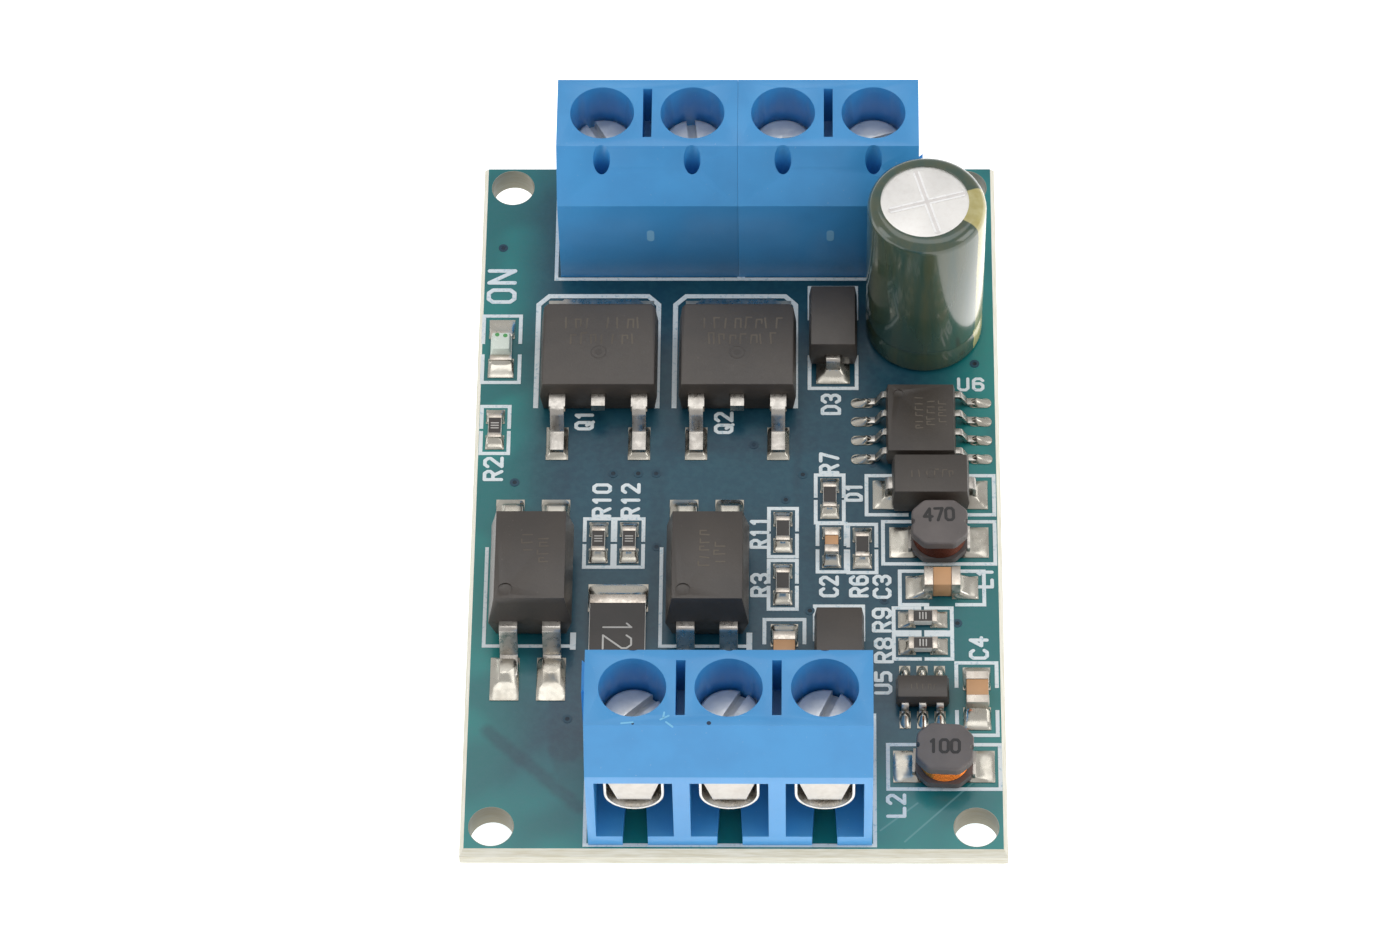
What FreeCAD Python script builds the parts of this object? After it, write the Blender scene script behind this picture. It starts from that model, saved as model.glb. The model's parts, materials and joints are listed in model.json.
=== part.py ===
import FreeCAD, Part
import math
import os

# Servo driver board: a glass-epoxy circuit board with one 3-pole and two 2-pole rising-cage
# screw terminals, a can capacitor and surface-mount parts.
#
# Frame, in millimetres: the origin is the centre of the four mounting holes on the board's
# underside, +Z points out of the component side, and +Y runs along the board from the 3-pole
# terminal to the two 2-pole terminals.

Vector = FreeCAD.Vector

# ---------------------------------------------------------------- driving dimensions: board
BOARD_WIDTH = 29.5
BOARD_LENGTH = 46.0
BOARD_THICKNESS = 1.6
SCORE_WIDTH = 0.25              # the V score leaves a bevel this wide on every edge,
SCORE_DEPTH = 0.5               # this deep, above and below the web that was snapped
MOUNT_HOLE_RADIUS = 1.2         # clearance for M2
MOUNT_SPACING_X = 26.1
MOUNT_SPACING_Y = 42.8
PAD_THICKNESS = 0.05
LEAD_HOLE_RADIUS = 0.65
PIN_BELOW_BOARD = 1.7

BOARD_TOP = BOARD_THICKNESS
SEAT = BOARD_TOP + PAD_THICKNESS    # parts are soldered at this height

# ---------------------------------------------------------------- driving dimensions: terminals
POLE_PITCH = 5.08
BLOCK_DEPTH = 8.05
BLOCK_HEIGHT = 9.9
FRONT_SLOPE_START = 7.05        # height where the face over the wire entries leans back
FRONT_SLOPE_RUN = 1.47
BACK_SLOPE_START = 6.8
BACK_SLOPE_RUN = 1.9
ENTRY_WIDTH = 4.17
ENTRY_FLOOR = 0.93
ENTRY_CEILING = 6.4
CAVITY_DEPTH = 6.9
KEY_SLOT_WIDTH = 1.1            # the contact's pin is pushed in along this slot,
KEY_SLOT_MOUTH = 1.36           # which flares towards the entry face
KEY_SLOT_FLARE = 2.2
KEY_SLOT_DEPTH = 6.5
SCREW_HOLE_RADIUS = 1.8
SCREW_DEPTH = 3.81              # from the entry face to the screw's axis
WALL_SLOT = (0.5, 3.4, 3.0)     # width, length and depth of the slot between two poles
PROBE_HOLE_RADIUS = 0.475       # blind upright hole that breaks out through the back slope
PROBE_HOLE_LAP = 0.06           # how far the hole cuts back into the flat top
PROBE_HOLE_FLOOR = 7.0
RIB_PROUD = 0.25                # dovetail rib that locks neighbouring blocks together
RIB_WIDTH = 2.0
RIB_CENTRE = 5.95
RIB_HEIGHT = 7.6
RIB_PLAY = 0.04                 # between a rib and its neighbour's groove
BLOCK_GAP = 0.01                # between the two rear blocks

CONTACT_THICKNESS = 0.5
CONTACT_RECESS = 0.75           # from the entry face to the contact's upturned flange
CONTACT_UNDERSIDE = 3.15
CONTACT_WIDTH = 1.85
FLANGE_TOP = 5.6
FLANGE_SHOULDER = 5.3
FLANGE_WIDTH = 2.8
CONTACT_REACH = 6.3             # outer face of the leg that goes down to the board
PIN_WIDTH = 1.0
PIN_SHOULDER = ENTRY_FLOOR + 0.3    # the leg narrows to the pin here
BEND_INSIDE = 0.05              # inside radius of the contact's two folds

SCREW_PITCH = 0.45              # M2.5
SCREW_TURNS = 2.9               # from clamped to fully open
CAGE_TRAVEL = SCREW_PITCH * SCREW_TURNS
SCREW_SHANK_RADIUS = 1.25
SCREW_HEAD_RADIUS = 1.66
SCREW_HEAD_BOTTOM = 6.12
SCREW_HEAD_TOP = 7.25
SCREW_HEAD_DOME = 0.22
SCREW_SLOT_WIDTH = 0.5
SCREW_SLOT_DEPTH = 0.7
SCREW_TIP_GAP = 0.05
SCREW_TIP_CHAMFER = 0.25
SCREW_RIM_ROUND = (0.12, 0.1)   # in from the rim and up from it
THREAD_CLEARANCE = 0.05

CAGE_OUTER_RADIUS = 1.61        # the cage's floor is half round, its sides are straight
CAGE_THICKNESS = 0.15
CAGE_FLOOR = ENTRY_FLOOR + CAGE_TRAVEL + 0.365
CAGE_TOP = 5.96
CAGE_PLATE_THICKNESS = 0.8
CAGE_FRONT = 0.7
CAGE_PLATE_FRONT = 1.6
CAGE_BACK = 5.4

# Each block: poles, centre along X, the Y of its wire-entry face, and its turn about Z.
REAR_SEAM_X = 0.03
REAR_OFFSET = POLE_PITCH + BLOCK_GAP / 2
TERMINAL_BLOCKS = {
    "front": (3, -0.18, -22.55, 0),
    "rear_left": (2, REAR_SEAM_X - REAR_OFFSET, 23.1, 180),
    "rear_right": (2, REAR_SEAM_X + REAR_OFFSET, 23.1, 180),
}
# How each screw was left after tightening: the angle of its slot from +X, pole by pole.
SLOT_ANGLES = {
    "front": (44, 61, 67),
    "rear_left": (118, 96),
    "rear_right": (8, 20),
}

# ---------------------------------------------------------------- driving dimensions: capacitor
CAPACITOR_X = 10.55
CAPACITOR_Y = 11.7
CAPACITOR_HEIGHT = 11.8
CAPACITOR_RADIUS = 3.3
SLEEVE_THICKNESS = 0.1
SLEEVE_LAP = 0.85               # how far the sleeve laps over the can's top,
SLEEVE_SKEW = 0.12              # further on the +X side than on the other
SHOULDER_RADIUS = 0.55
CAN_WALL = 0.25
CAN_STANDOFF = 0.3
GROOVE_HEIGHT = 1.6             # crimp groove that grips the rubber seal
GROOVE_DEPTH = 0.08
GROOVE_FLAT = 0.15              # half the height of the groove's floor
GROOVE_MOUTH = 0.45             # half the height where it meets the wall
SEAL_HEIGHT = 1.9
SEAL_RADIUS = 2.75
SEAL_RECESS = 0.05              # the seal sits this far up inside the can's rim
ELEMENT_RADIUS = 2.7
ELEMENT_HEADROOM = 0.9
VENT_LENGTH = 4.3
VENT_WIDTH = 0.16
VENT_DEPTH = 0.08
VENT_ANGLE = 16
LEAD_PITCH = 2.5
LEAD_RADIUS = 0.25
LEAD_BELOW_BOARD = 1.5

# ---------------------------------------------------------------- placement of the small parts
# Name: centre x, centre y. A "Y" or "X" is the direction that the part lies along.
TRANSISTORS = {"q1": (-7.78, 8.62), "q2": (0.02, 8.62)}
OPTOCOUPLERS = {"left": (-11.2, -6.45), "right": (-1.52, -6.45)}
OPTOCOUPLER_OFF_PADS = (0.12, 0.42)     # how far each coupler was placed off its pads' centre
DRIVER_IC = (10.35, 4.36)
DRIVER_BODY_OFF_PADS = (-0.05, -0.09)
REGULATOR_IC = (10.23, -13.2)
DIODES = {"d1": (10.8, 0.05, "X"), "d2": (5.7, -10.8, "Y"), "d3": (5.4, 10.8, "Y")}
INDUCTORS = {"l1": (11.25, -3.12, 0, 1.42), "l2": (11.36, -17.62, -3, 1.3)}  # x, y, turn, winding radius
LAMP = (-13.4, 10.0)
POWER_RESISTOR = (-6.47, -10.1)
SMALL_RESISTORS = {
    "r2": (-13.6, 4.45, "Y"),
    "r3": (2.6, -5.9, "Y"),
    "r6": (7.0, -3.5, "Y"),
    "r7": (5.2, -0.2, "Y"),
    "r8": (10.3, -9.95, "X"),
    "r9": (10.3, -8.2, "X"),
    "r10": (-7.63, -3.15, "Y"),
    "r11": (2.6, -2.45, "Y"),
    "r12": (-5.93, -3.15, "Y"),
}
# Length, width, height, end cap length and pad reach follow each place and direction.
CERAMIC_CAPACITORS = {
    "c1": (2.7, -10.5, "Y", 2.0, 1.25, 0.9, 0.55, 2.0),
    "c2": (5.3, -3.45, "Y", 1.6, 0.8, 0.8, 0.5, 1.35),
    "c3": (11.38, -6.1, "X", 2.0, 1.25, 1.25, 0.5, 2.0),
    "c4": (13.2, -13.3, "Y", 2.0, 1.25, 1.25, 0.5, 2.0),
}

# Chip parts: length, width, height, end cap length.
SMALL_RESISTOR_SIZE = (1.6, 0.8, 0.45, 0.3)
POWER_RESISTOR_SIZE = (6.3, 3.15, 0.6, 0.55)
LAMP_SIZE = (2.0, 1.25, 0.8, 0.35)
LAMP_BASE_HEIGHT = 0.35
LAMP_LENS_INSET = 0.05          # of the lens's foot, per side,
LAMP_LENS_DRAFT = 0.1           # and how much further in its top is
OVERCOAT_THICKNESS = 0.06
CAP_PROUD = 0.03                # end caps stand this far proud of the ceramic

# Moulded packages: width along X, length along Y, height, gap under the body.
TRANSISTOR_BODY = (6.6, 5.84, 2.45, 0.0)
OPTOCOUPLER_BODY = (4.55, 6.4, 3.85, 0.25)
DRIVER_BODY = (3.9, 4.7, 1.5, 0.15)
REGULATOR_BODY = (2.9, 1.6, 1.15, 0.1)
DIODE_BODY = (2.72, 4.3, 2.2, 0.22)
# How far a body's top face is in from its parting line, per side.
MOULD_DRAFT = 0.12
TRANSISTOR_DRAFT = 0.16
OPTOCOUPLER_DRAFT = 0.36
PIN_MARK_DEPTH = 0.08
# Pin 1 marks: x, y and radius.
OPTOCOUPLER_MARK = (-1.3, -2.25, 0.4)
DRIVER_MARK = (-1.25, 1.6, 0.3)

# Leads leave at the parting line, which is this high above the seat.
TRANSISTOR_PARTING = 1.4
OPTOCOUPLER_PARTING = 1.9
DIODE_PARTING = 1.15
LEAD_ROOT = 0.5                 # how far every lead reaches into its body
SHEET = 0.2                     # lead thickness of the small packages

TRANSISTOR_CORNER = 0.5         # chamfer of the two corners over the tab
TRANSISTOR_SHEET = 0.5
TRANSISTOR_LEAD_X = 2.3
TRANSISTOR_LEAD_WIDTH = 0.76
TRANSISTOR_KNEE = (0.9, 0.8)    # wider stretch by the body: width and length
TRANSISTOR_STUB = 0.75          # what is left of the cut middle lead
TRANSISTOR_LEAD_RUNS = (0.95, 1.6, 2.95)    # from the body to the knee's bend, the foot and the tip
TAB_WIDTH = 5.2
TAB_LENGTH = 4.6
TAB_REACH = 4.48                # from the body's centre to the tab's end

OPTOCOUPLER_SHEET = 0.25
OPTOCOUPLER_LEAD_X = 1.18
OPTOCOUPLER_LEAD_WIDTH = 1.0
OPTOCOUPLER_LEAD_RUNS = (0.4, 0.95, 2.35)

# Rows of leads: height of the parting line, pitch, leads on each side, lead width, span over tips.
DRIVER_LEADS = (0.8, 1.27, 4, 0.42, 6.2)
REGULATOR_LEADS = (0.6, 0.95, 3, 0.4, 2.9)
ROW_SHOULDER = 0.22
ROW_FOOT = 0.55

DIODE_LEAD_WIDTH = 0.8
DIODE_LEAD_RUNS = (0.28, 1.0)   # out from the body, and back under it

INDUCTOR_PLATE = (3.1, 2.92)    # octagonal flanges
INDUCTOR_CHAMFER = 0.7
INDUCTOR_CORNER_ROUND = 0.5
INDUCTOR_RIM_ROUND = 0.14
INDUCTOR_NOTCH_RADIUS = 0.2
INDUCTOR_LEVELS = (0.2, 0.62, 1.6, 2.15)    # base, waist, underside and top of the upper flange
CORE_RADIUS = 0.8
WINDING_TURNS = 7
INDUCTOR_TERMINAL = (1.5, 0.16, 0.75, 0.55) # width, thickness, reach under the base, height
INDUCTOR_TERMINAL_OUT = 0.08

# Pads: their outer ends' distance from the part's centre, length and width.
SMALL_RESISTOR_PADS = (1.35, 0.95, 1.05)
LAMP_PADS = (2.0, 1.3, 1.45)
POWER_RESISTOR_PADS = (4.2, 1.8, 3.3)
DIODE_PADS = (3.2, 1.5, 1.9)
INDUCTOR_PADS = (2.75, 1.5, 2.0)
OPTOCOUPLER_PADS = (6.58, 2.75, 1.58)
DRIVER_PADS = (3.95, 1.3, 0.62)
DRIVER_PAD_ROUND = 0.29
REGULATOR_PADS = (2.0, 1.1, 0.6)
CERAMIC_PAD_GAP = 1.1
CERAMIC_PAD_MARGIN = 0.25
OPTOCOUPLER_PAD_X = 1.27
TRANSISTOR_LEAD_PAD = (1.24, -6.22, -4.02)  # width, then near and far end from the body's centre
TRANSISTOR_TAB_PAD = (6.0, -1.42, 4.73)

SOLDER_TIP_RADIUS = 0.58
SOLDER_WAIST_RADIUS = 0.72
SOLDER_FOOT_RADIUS = 0.95
SOLDER_HEIGHTS = (1.2, 0.75, 0.12)  # tip, waist and foot, below the board


# ---------------------------------------------------------------- geometry helpers
def at(axis, a, b, along):
    """The point whose two in-plane coordinates are a and b, and that lies along the axis."""
    if axis == "X":
        return Vector(along, a, b)
    if axis == "Y":
        return Vector(a, along, b)
    return Vector(a, b, along)


def box(x_range, y_range, z_range):
    """A block between two corners, each range a low and a high value."""
    sizes = [high - low for low, high in (x_range, y_range, z_range)]
    corner = Vector(x_range[0], y_range[0], z_range[0])
    return Part.makeBox(sizes[0], sizes[1], sizes[2], corner)


def centred_box(width, length, z_low, z_high):
    """A block centred on the Z axis."""
    return box((-width / 2, width / 2), (-length / 2, length / 2), (z_low, z_high))


def post(radius, x, y, z_low, z_high):
    """An upright cylinder."""
    return Part.makeCylinder(radius, z_high - z_low, Vector(x, y, z_low))


def prism(points, axis, low, high):
    """A polygon in the plane across the axis, pushed from low to high along it."""
    corners = [at(axis, a, b, low) for a, b in points]
    face = Part.Face(Part.makePolygon(corners + corners[:1]))
    return face.extrude(at(axis, 0, 0, high - low))


def frustum(width, length, z, top_width, top_length, top_z):
    """A centred block whose upper rectangle has another size than its lower one."""
    def outline(w, d, height):
        corners = [(-w / 2, -d / 2), (w / 2, -d / 2), (w / 2, d / 2), (-w / 2, d / 2)]
        points = [Vector(x, y, height) for x, y in corners]
        return Part.makePolygon(points + points[:1])
    return Part.makeLoft([outline(width, length, z), outline(top_width, top_length, top_z)], True, True)


def lathe(points):
    """A profile of (radius, z) points turned about the Z axis."""
    corners = [Vector(r, 0, z) for r, z in points]
    face = Part.Face(Part.makePolygon(corners + corners[:1]))
    return face.revolve(Vector(0, 0, 0), Vector(0, 0, 1), 360)


def bent_strip(path, thickness, bend_radius, axis, low, high):
    """Sheet metal that follows the middle of its thickness along path, bent to one radius."""
    points = [Vector(a, b, 0) for a, b in path]
    edges = []
    ends = {0: [], -1: []}
    for side in (thickness / 2, -thickness / 2):
        heading = (points[1] - points[0]).normalize()
        last = points[0] + Vector(-heading.y, heading.x, 0) * side
        ends[0].append(last)
        for index in range(1, len(points) - 1):
            corner = points[index]
            heading = (corner - points[index - 1]).normalize()
            leaving = (points[index + 1] - corner).normalize()
            turn = math.atan2(heading.cross(leaving).z, heading.dot(leaving))
            run_in = bend_radius * math.tan(abs(turn) / 2)
            left_in = Vector(-heading.y, heading.x, 0)
            left_out = Vector(-leaving.y, leaving.x, 0)
            start = corner - heading * run_in + left_in * side
            finish = corner + leaving * run_in + left_out * side
            centre = corner - heading * run_in + left_in * math.copysign(bend_radius, turn)
            radius = bend_radius - side * math.copysign(1, turn)
            middle = centre + (corner - centre).normalize() * radius
            edges.append((last, start))
            edges.append((start, middle, finish))
            last = finish
        heading = (points[-1] - points[-2]).normalize()
        tip = points[-1] + Vector(-heading.y, heading.x, 0) * side
        edges.append((last, tip))
        ends[-1].append(tip)
    edges.append(tuple(ends[0]))
    edges.append(tuple(ends[-1]))
    shapes = []
    for edge in edges:
        placed = [at(axis, point.x, point.y, low) for point in edge]
        if len(placed) == 3:
            shapes.append(Part.Arc(placed[0], placed[1], placed[2]).toShape())
        elif placed[0].distanceToPoint(placed[1]) > 1e-6:
            shapes.append(Part.LineSegment(placed[0], placed[1]).toShape())
    outline = Part.Wire(Part.__sortEdges__(shapes))
    return Part.Face(outline).extrude(at(axis, 0, 0, high - low))


def moved(shape, x, y, z, turn=0):
    """A copy turned about the Z axis by degrees, then moved."""
    copy = shape.copy()
    copy.rotate(Vector(0, 0, 0), Vector(0, 0, 1), turn)
    copy.translate(Vector(x, y, z))
    return copy


def fused(shapes):
    """One solid from several that touch or overlap."""
    return shapes[0].multiFuse(shapes[1:]).removeSplitter()


def export(node, shapes):
    """Write one node's separate solids to its own file."""
    solids = [solid for shape in shapes for solid in shape.Solids]
    for solid in solids:
        if not solid.isValid():
            raise ValueError("invalid solid in " + node)
    Part.makeCompound(solids).exportStep("parts/" + node + ".step")


# ---------------------------------------------------------------- terminals
def pole_places(block):
    """The X of each of a block's poles, from -X to +X."""
    poles, centre_x = TERMINAL_BLOCKS[block][:2]
    return [centre_x + (index - (poles - 1) / 2) * POLE_PITCH for index in range(poles)]


def terminal_housing(poles):
    """Blue housing. Its entry face is at y = 0 and its depth runs along +Y."""
    half_width = poles * POLE_PITCH / 2
    top_back = BLOCK_DEPTH - BACK_SLOPE_RUN
    side_view = [
        (0, 0),
        (BLOCK_DEPTH, 0),
        (BLOCK_DEPTH, BACK_SLOPE_START),
        (top_back, BLOCK_HEIGHT),
        (FRONT_SLOPE_RUN, BLOCK_HEIGHT),
        (0, FRONT_SLOPE_START),
    ]
    housing = prism(side_view, "X", -half_width, half_width)

    def dovetail(edge, clearance):
        """The rib on the block's left side, or with clearance the groove for its neighbour's."""
        root = RIB_WIDTH / 2 - RIB_PROUD + 2 * clearance
        tip = RIB_WIDTH / 2 + 2 * clearance
        proud = RIB_PROUD + clearance
        points = [
            (edge, RIB_CENTRE - root),
            (edge - proud, RIB_CENTRE - tip),
            (edge - proud, RIB_CENTRE + tip),
            (edge, RIB_CENTRE + root),
        ]
        return prism(points, "Z", 0, RIB_HEIGHT + clearance)

    housing = housing.fuse(dovetail(-half_width, 0))
    tools = [dovetail(half_width, RIB_PLAY)]
    for index in range(poles):
        x = (index - (poles - 1) / 2) * POLE_PITCH
        half_entry = ENTRY_WIDTH / 2
        probe_y = top_back + PROBE_HOLE_RADIUS - PROBE_HOLE_LAP
        tools.append(box((x - half_entry, x + half_entry), (-1, CAVITY_DEPTH), (ENTRY_FLOOR, ENTRY_CEILING)))
        tools.append(key_slot(x))
        tools.append(post(SCREW_HOLE_RADIUS, x, SCREW_DEPTH, ENTRY_CEILING - 0.5, BLOCK_HEIGHT + 1))
        tools.append(post(PROBE_HOLE_RADIUS, x, probe_y, PROBE_HOLE_FLOOR, BLOCK_HEIGHT + 1))
    slot_width, slot_length, slot_depth = WALL_SLOT
    slot_y = (FRONT_SLOPE_RUN + top_back) / 2
    for index in range(poles - 1):
        x = (index + 1 - poles / 2) * POLE_PITCH
        tools.append(box(
            (x - slot_width / 2, x + slot_width / 2),
            (slot_y - slot_length / 2, slot_y + slot_length / 2),
            (BLOCK_HEIGHT - slot_depth, BLOCK_HEIGHT + 1),
        ))
    return housing.cut(tools)


def key_slot(x):
    """Cutter for the slot in the floor, which flares towards the entry face."""
    half = KEY_SLOT_WIDTH / 2
    mouth = KEY_SLOT_MOUTH / 2
    points = [
        (x - mouth, -1),
        (x + mouth, -1),
        (x + mouth, 0),
        (x + half, KEY_SLOT_FLARE),
        (x + half, KEY_SLOT_DEPTH),
        (x - half, KEY_SLOT_DEPTH),
        (x - half, KEY_SLOT_FLARE),
        (x - mouth, 0),
    ]
    return prism(points, "Z", -1, ENTRY_FLOOR + 1)


def terminal_contact():
    """Fixed contact: a flange turned up in the entry, a bar, and a leg that ends in the pin."""
    half = CONTACT_THICKNESS / 2
    bar_z = CONTACT_UNDERSIDE + half
    bottom = -BOARD_THICKNESS - PIN_BELOW_BOARD
    path = [
        (CONTACT_RECESS + half, FLANGE_TOP),
        (CONTACT_RECESS + half, bar_z),
        (CONTACT_REACH - half, bar_z),
        (CONTACT_REACH - half, bottom),
    ]
    bend = half + BEND_INSIDE
    strip = bent_strip(path, CONTACT_THICKNESS, bend, "X", -FLANGE_WIDTH / 2, FLANGE_WIDTH / 2)
    outline = [
        (-PIN_WIDTH / 2, bottom),
        (PIN_WIDTH / 2, bottom),
        (PIN_WIDTH / 2, PIN_SHOULDER),
        (CONTACT_WIDTH / 2, PIN_SHOULDER),
        (CONTACT_WIDTH / 2, CONTACT_UNDERSIDE + CONTACT_THICKNESS),
        (FLANGE_WIDTH / 2, FLANGE_SHOULDER),
        (FLANGE_WIDTH / 2, FLANGE_TOP),
        (-FLANGE_WIDTH / 2, FLANGE_TOP),
        (-FLANGE_WIDTH / 2, FLANGE_SHOULDER),
        (-CONTACT_WIDTH / 2, CONTACT_UNDERSIDE + CONTACT_THICKNESS),
        (-CONTACT_WIDTH / 2, PIN_SHOULDER),
        (-PIN_WIDTH / 2, PIN_SHOULDER),
    ]
    return strip.common(prism(outline, "Y", 0, BLOCK_DEPTH))


def clamp_cage():
    """Rising cage: a U of sheet with a half-round floor, closed by a threaded plate on top."""
    def u_section(radius):
        centre_z = CAGE_FLOOR + CAGE_OUTER_RADIUS
        top = CAGE_TOP
        left = Vector(-radius, CAGE_FRONT, centre_z)
        right = Vector(radius, CAGE_FRONT, centre_z)
        upper_left = Vector(-radius, CAGE_FRONT, top)
        upper_right = Vector(radius, CAGE_FRONT, top)
        edges = [
            Part.LineSegment(upper_left, left).toShape(),
            Part.Arc(left, Vector(0, CAGE_FRONT, centre_z - radius), right).toShape(),
            Part.LineSegment(right, upper_right).toShape(),
            Part.LineSegment(upper_right, upper_left).toShape(),
        ]
        return Part.Face(Part.Wire(edges)).extrude(Vector(0, CAGE_BACK - CAGE_FRONT, 0))

    inner_radius = CAGE_OUTER_RADIUS - CAGE_THICKNESS
    cage = u_section(CAGE_OUTER_RADIUS).cut(u_section(inner_radius))
    plate = box(
        (-inner_radius, inner_radius),
        (CAGE_PLATE_FRONT, CAGE_BACK),
        (CAGE_TOP - CAGE_PLATE_THICKNESS, CAGE_TOP),
    )
    thread = post(SCREW_SHANK_RADIUS + THREAD_CLEARANCE, 0, SCREW_DEPTH, 0, BLOCK_HEIGHT)
    return fused([cage, plate]).cut(thread)


def clamp_screw(slot_angle):
    """Slotted screw. Its tip stands on the contact bar, so it turns without rising."""
    tip = CONTACT_UNDERSIDE + CONTACT_THICKNESS + SCREW_TIP_GAP
    rim = SCREW_HEAD_TOP - SCREW_HEAD_DOME
    round_in, round_up = SCREW_RIM_ROUND
    shank = SCREW_SHANK_RADIUS
    screw = lathe([
        (0, tip),
        (shank - SCREW_TIP_CHAMFER, tip),
        (shank, tip + SCREW_TIP_CHAMFER),
        (shank, SCREW_HEAD_BOTTOM),
        (SCREW_HEAD_RADIUS, SCREW_HEAD_BOTTOM),
        (SCREW_HEAD_RADIUS, rim),
        (SCREW_HEAD_RADIUS - round_in, rim + round_up),
        (SCREW_HEAD_RADIUS * 0.6, SCREW_HEAD_TOP - 0.04),
        (0, SCREW_HEAD_TOP),
    ])
    slot = centred_box(4 * SCREW_HEAD_RADIUS, SCREW_SLOT_WIDTH, SCREW_HEAD_TOP - SCREW_SLOT_DEPTH, BLOCK_HEIGHT)
    slot.rotate(Vector(0, 0, 0), Vector(0, 0, 1), slot_angle)
    screw = screw.cut(slot)
    screw.translate(Vector(0, SCREW_DEPTH, 0))
    return screw


def terminal_blocks():
    """All the nodes of the three terminals."""
    nodes = {}
    for block, (poles, centre_x, entry_y, turn) in TERMINAL_BLOCKS.items():
        housing = moved(terminal_housing(poles), centre_x, entry_y, BOARD_TOP, turn)
        nodes[block + "_terminal_housing"] = [housing]
        contacts = []
        for number, x in enumerate(pole_places(block), 1):
            slot_angle = SLOT_ANGLES[block][number - 1] - turn
            contacts.append(moved(terminal_contact(), x, entry_y, BOARD_TOP, turn))
            nodes["%s_clamp_screw_%d" % (block, number)] = [
                moved(clamp_screw(slot_angle), x, entry_y, BOARD_TOP, turn)]
            nodes["%s_clamp_cage_%d" % (block, number)] = [
                moved(clamp_cage(), x, entry_y, BOARD_TOP, turn)]
        nodes[block + "_terminal_contacts"] = contacts
    return nodes


# ---------------------------------------------------------------- capacitor
def can_profile(inset, base, top, shoulder):
    """Half section of the can or its sleeve, inset by a wall, with the crimp groove."""
    radius = CAPACITOR_RADIUS - inset
    groove = radius - GROOVE_DEPTH
    points = [(0, base), (radius, base)]
    crimp = ((-GROOVE_MOUTH, radius), (-GROOVE_FLAT, groove), (GROOVE_FLAT, groove), (GROOVE_MOUTH, radius))
    for offset, crimp_radius in crimp:
        points.append((crimp_radius, GROOVE_HEIGHT + offset))
    steps = 6
    for step in range(steps + 1):
        angle = math.radians(90 * step / steps)
        points.append((
            radius - shoulder * (1 - math.cos(angle)),
            top - shoulder * (1 - math.sin(angle)),
        ))
    points.append((0, top))
    return points


def capacitor():
    """Can capacitor: aluminium can, sleeve, wound element, rubber seal and two leads."""
    top = CAPACITOR_HEIGHT
    can_outer = lathe(can_profile(SLEEVE_THICKNESS, CAN_STANDOFF, top - SLEEVE_THICKNESS, SHOULDER_RADIUS))
    wall = SLEEVE_THICKNESS + CAN_WALL
    hollow = lathe(can_profile(wall, 0, top - wall, SHOULDER_RADIUS))
    can = can_outer.cut(hollow)
    for angle in (VENT_ANGLE, VENT_ANGLE + 90):
        groove = centred_box(VENT_LENGTH, VENT_WIDTH, top - SLEEVE_THICKNESS - VENT_DEPTH, top + 1)
        can = can.cut(moved(groove, 0, 0, 0, angle))
    sleeve_shoulder = SHOULDER_RADIUS + SLEEVE_THICKNESS
    sleeve_outer = lathe(can_profile(0, CAN_STANDOFF - SLEEVE_THICKNESS, top, sleeve_shoulder))
    window = post(CAPACITOR_RADIUS - SLEEVE_LAP, -SLEEVE_SKEW, 0, -1, top + 1)
    sleeve = sleeve_outer.cut([can_outer, window])

    leads = []
    seal_base = CAN_STANDOFF + SEAL_RECESS
    element_base = CAN_STANDOFF + SEAL_HEIGHT
    element_top = top - ELEMENT_HEADROOM
    seal = post(SEAL_RADIUS, 0, 0, seal_base, element_base)
    element = post(ELEMENT_RADIUS, 0, 0, element_base, element_top)
    for x in (-LEAD_PITCH / 2, LEAD_PITCH / 2):
        lead = post(LEAD_RADIUS, x, 0, -BOARD_THICKNESS - LEAD_BELOW_BOARD, element_base)
        leads.append(lead)
        seal = seal.cut(lead)
    nodes = {
        "capacitor_can": [can],
        "capacitor_sleeve": [sleeve],
        "capacitor_seal": [seal],
        "capacitor_element": [element],
        "capacitor_leads": leads,
    }
    return {
        node: [moved(shape, CAPACITOR_X, CAPACITOR_Y, BOARD_TOP) for shape in shapes]
        for node, shapes in nodes.items()
    }


# ---------------------------------------------------------------- moulded packages
def moulded_body(size, parting, draft=MOULD_DRAFT, mark=None):
    """Two drafted halves that meet at the parting height; mark is the pin 1 dimple (x, y, radius)."""
    width, length, height, gap = size
    in_top = 2 * draft
    lower = frustum(width - in_top, length - in_top, gap, width, length, parting)
    upper = frustum(width, length, parting, width - in_top, length - in_top, height)
    body = fused([lower, upper])
    if mark:
        x, y, radius = mark
        body = body.cut(post(radius, x, y, height - PIN_MARK_DEPTH, height + 1))
    return body


def gull_wing(inner, shoulder, foot, tip, exit_z, thickness, axis, low, high):
    """Lead from inside the body, out at exit_z, down to its foot, running outward along a plane."""
    half = thickness / 2
    path = [(inner, exit_z), (shoulder, exit_z), (foot, half), (tip, half)]
    return bent_strip(path, thickness, thickness * 0.8, axis, low, high)


def mirrored(shape, axis):
    """The shape on the other side of the plane through the origin across the axis."""
    return shape.mirror(Vector(0, 0, 0), at(axis, 0, 0, 1))


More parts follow.
